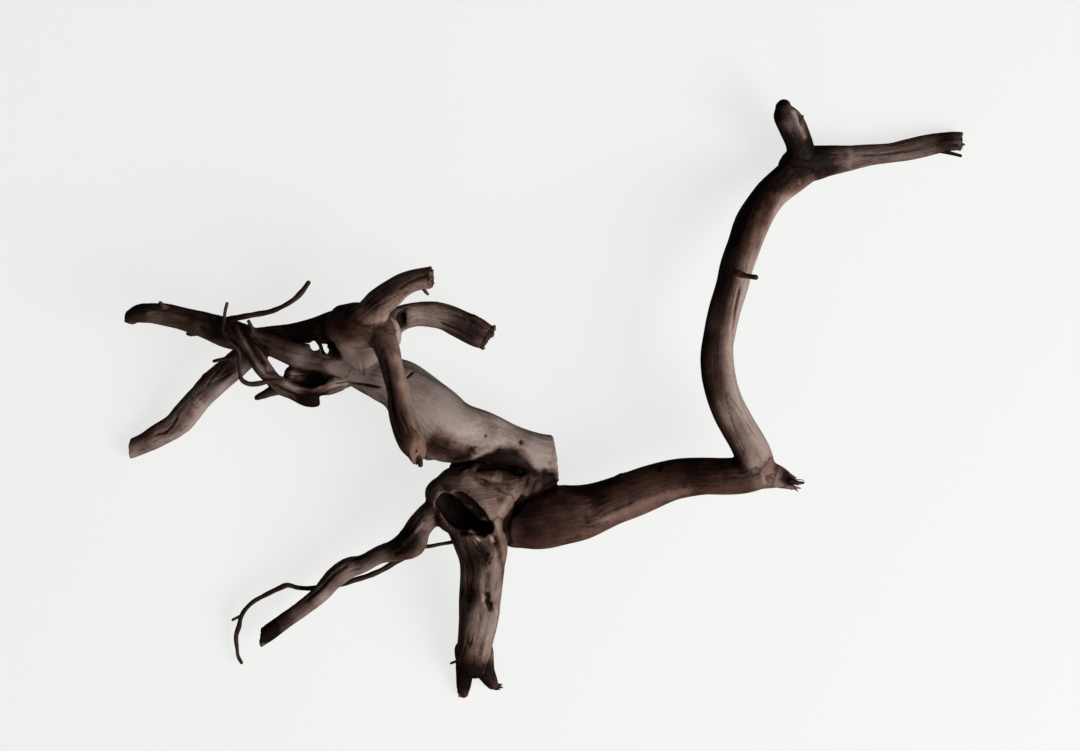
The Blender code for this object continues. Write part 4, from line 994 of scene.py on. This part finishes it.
def wood_material():
    """Colour by tone, stains, fibres and crevices, which are darkened partly as dirt and partly as painted
    shade, with three sizes of fine relief.
    """
    result = bpy.data.materials.new("weathered_wood")
    result.use_nodes = True
    tree = result.node_tree
    shader = tree.nodes["Principled BSDF"]
    n = Nodes(tree)
    grain = n.attribute("grain", "Vector")
    place = n.add("ShaderNodeTexCoord").outputs["Object"]
    streaks = n.noise(n.stretch(grain, (0.03, 0.35, 0.35)), 1.0, 4.0, 0.6)
    fibres = n.noise(n.stretch(grain, (0.12, 1.6, 1.6)), 1.0, 4.0, 0.65)
    clouds = n.noise(place, 55.0, 4.0, 0.6)
    stains = n.noise(place, 17.0, 3.0, 0.5)
    specks = n.noise(place, 420.0, 3.0, 0.6)
    # The tone attribute carries painted light and shade from the lamp side, the far side and some of the
    # marks.
    value = n.attribute("tone")
    for source, share in ((streaks, 0.3), (stains, 0.5), (clouds, 0.6), (fibres, 0.25), (specks, 0.2)):
        value = n.math("MULTIPLY_ADD", n.math("SUBTRACT", source, 0.5), share, value)
    # Crevices darken the colour, partly as dirt and partly as painted shade.
    value = n.math("MULTIPLY_ADD", n.attribute("crevice"), -0.17, value)
    ramp = n.add("ShaderNodeValToRGB", {"Fac": value})
    stops = ramp.color_ramp.elements
    stops[0].position = 0.0
    stops[0].color = BLACK
    stops[1].position = 1.0
    stops[1].color = PALE
    stops.new(0.13).color = DARK
    stops.new(0.37).color = BROWN
    stops.new(0.64).color = TAN
    colour = n.mix(n.between(n.attribute("red"), 0.0, 1.0), ramp.outputs["Color"], REDDISH, "MULTIPLY")
    colour = n.mix(n.attribute("fresh"), colour, n.mix(streaks, BROWN, FRESH))
    tree.links.new(colour, shader.inputs["Base Color"])
    rough = n.between(clouds, 0.3, 0.7, 0.38, 0.52)
    tree.links.new(rough, shader.inputs["Roughness"])
    tree.links.new(n.between(value, 0.1, 0.6, 0.06, 0.28), shader.inputs["Specular IOR Level"])
    bumps = {}
    for height, strength, distance in ((streaks, 1.0, 0.0008), (fibres, 0.9, 0.0005), (specks, 0.8, 0.0003)):
        bumps.update({"Height": height, "Strength": strength, "Distance": distance})
        bumps["Normal"] = n.add("ShaderNodeBump", bumps).outputs[0]
    tree.links.new(bumps["Normal"], shader.inputs["Normal"])
    return result


def floor():
    bm = bmesh.new()
    bmesh.ops.create_grid(bm, x_segments=1, y_segments=1, size=3.0)
    table = add_object("table", bm)
    paper = bpy.data.materials.new("pale_paper")
    paper.use_nodes = True
    shader = paper.node_tree.nodes["Principled BSDF"]
    shader.inputs["Base Color"].default_value = (0.12, 0.12, 0.119, 1)
    shader.inputs["Roughness"].default_value = 0.9
    shader.inputs["Emission Color"].default_value = (1.0, 1.0, 0.99, 1)
    shader.inputs["Emission Strength"].default_value = 0.75
    table.data.materials.append(paper)
    table.visible_diffuse = False
    table.visible_glossy = False


def area_light(name, place, size, power):
    data = bpy.data.lights.new(name, "AREA")
    data.shape = "SQUARE"
    data.size = size
    data.energy = power
    lamp = bpy.data.objects.new(name, data)
    lamp.location = place
    lamp.rotation_euler = (Vector((0, 0, 0.04)) - Vector(place)).to_track_quat("-Z", "Y").to_euler()
    bpy.context.scene.collection.objects.link(lamp)


def studio():
    floor()
    area_light("key", (1.5, -0.7, 1.35), 1.4, 70)
    area_light("fill", (-0.3, -1.7, 1.1), 1.2, 9)
    world = bpy.data.worlds.new("studio")
    world.use_nodes = True
    world.node_tree.nodes["Background"].inputs["Color"].default_value = (1, 1, 1, 1)
    world.node_tree.nodes["Background"].inputs["Strength"].default_value = 0.07
    bpy.context.scene.world = world
    data = bpy.data.cameras.new("camera")
    data.lens = 83.33
    data.sensor_width = 36
    camera = bpy.data.objects.new("camera", data)
    camera.location = (-0.0035, 0.0154, 1.545)
    bpy.context.scene.collection.objects.link(camera)
    bpy.context.scene.camera = camera
    bpy.context.scene.view_settings.view_transform = "Standard"


material = wood_material()
studio()
fine_wood()
fine_rootlets()
splinters()
pale_fibres()
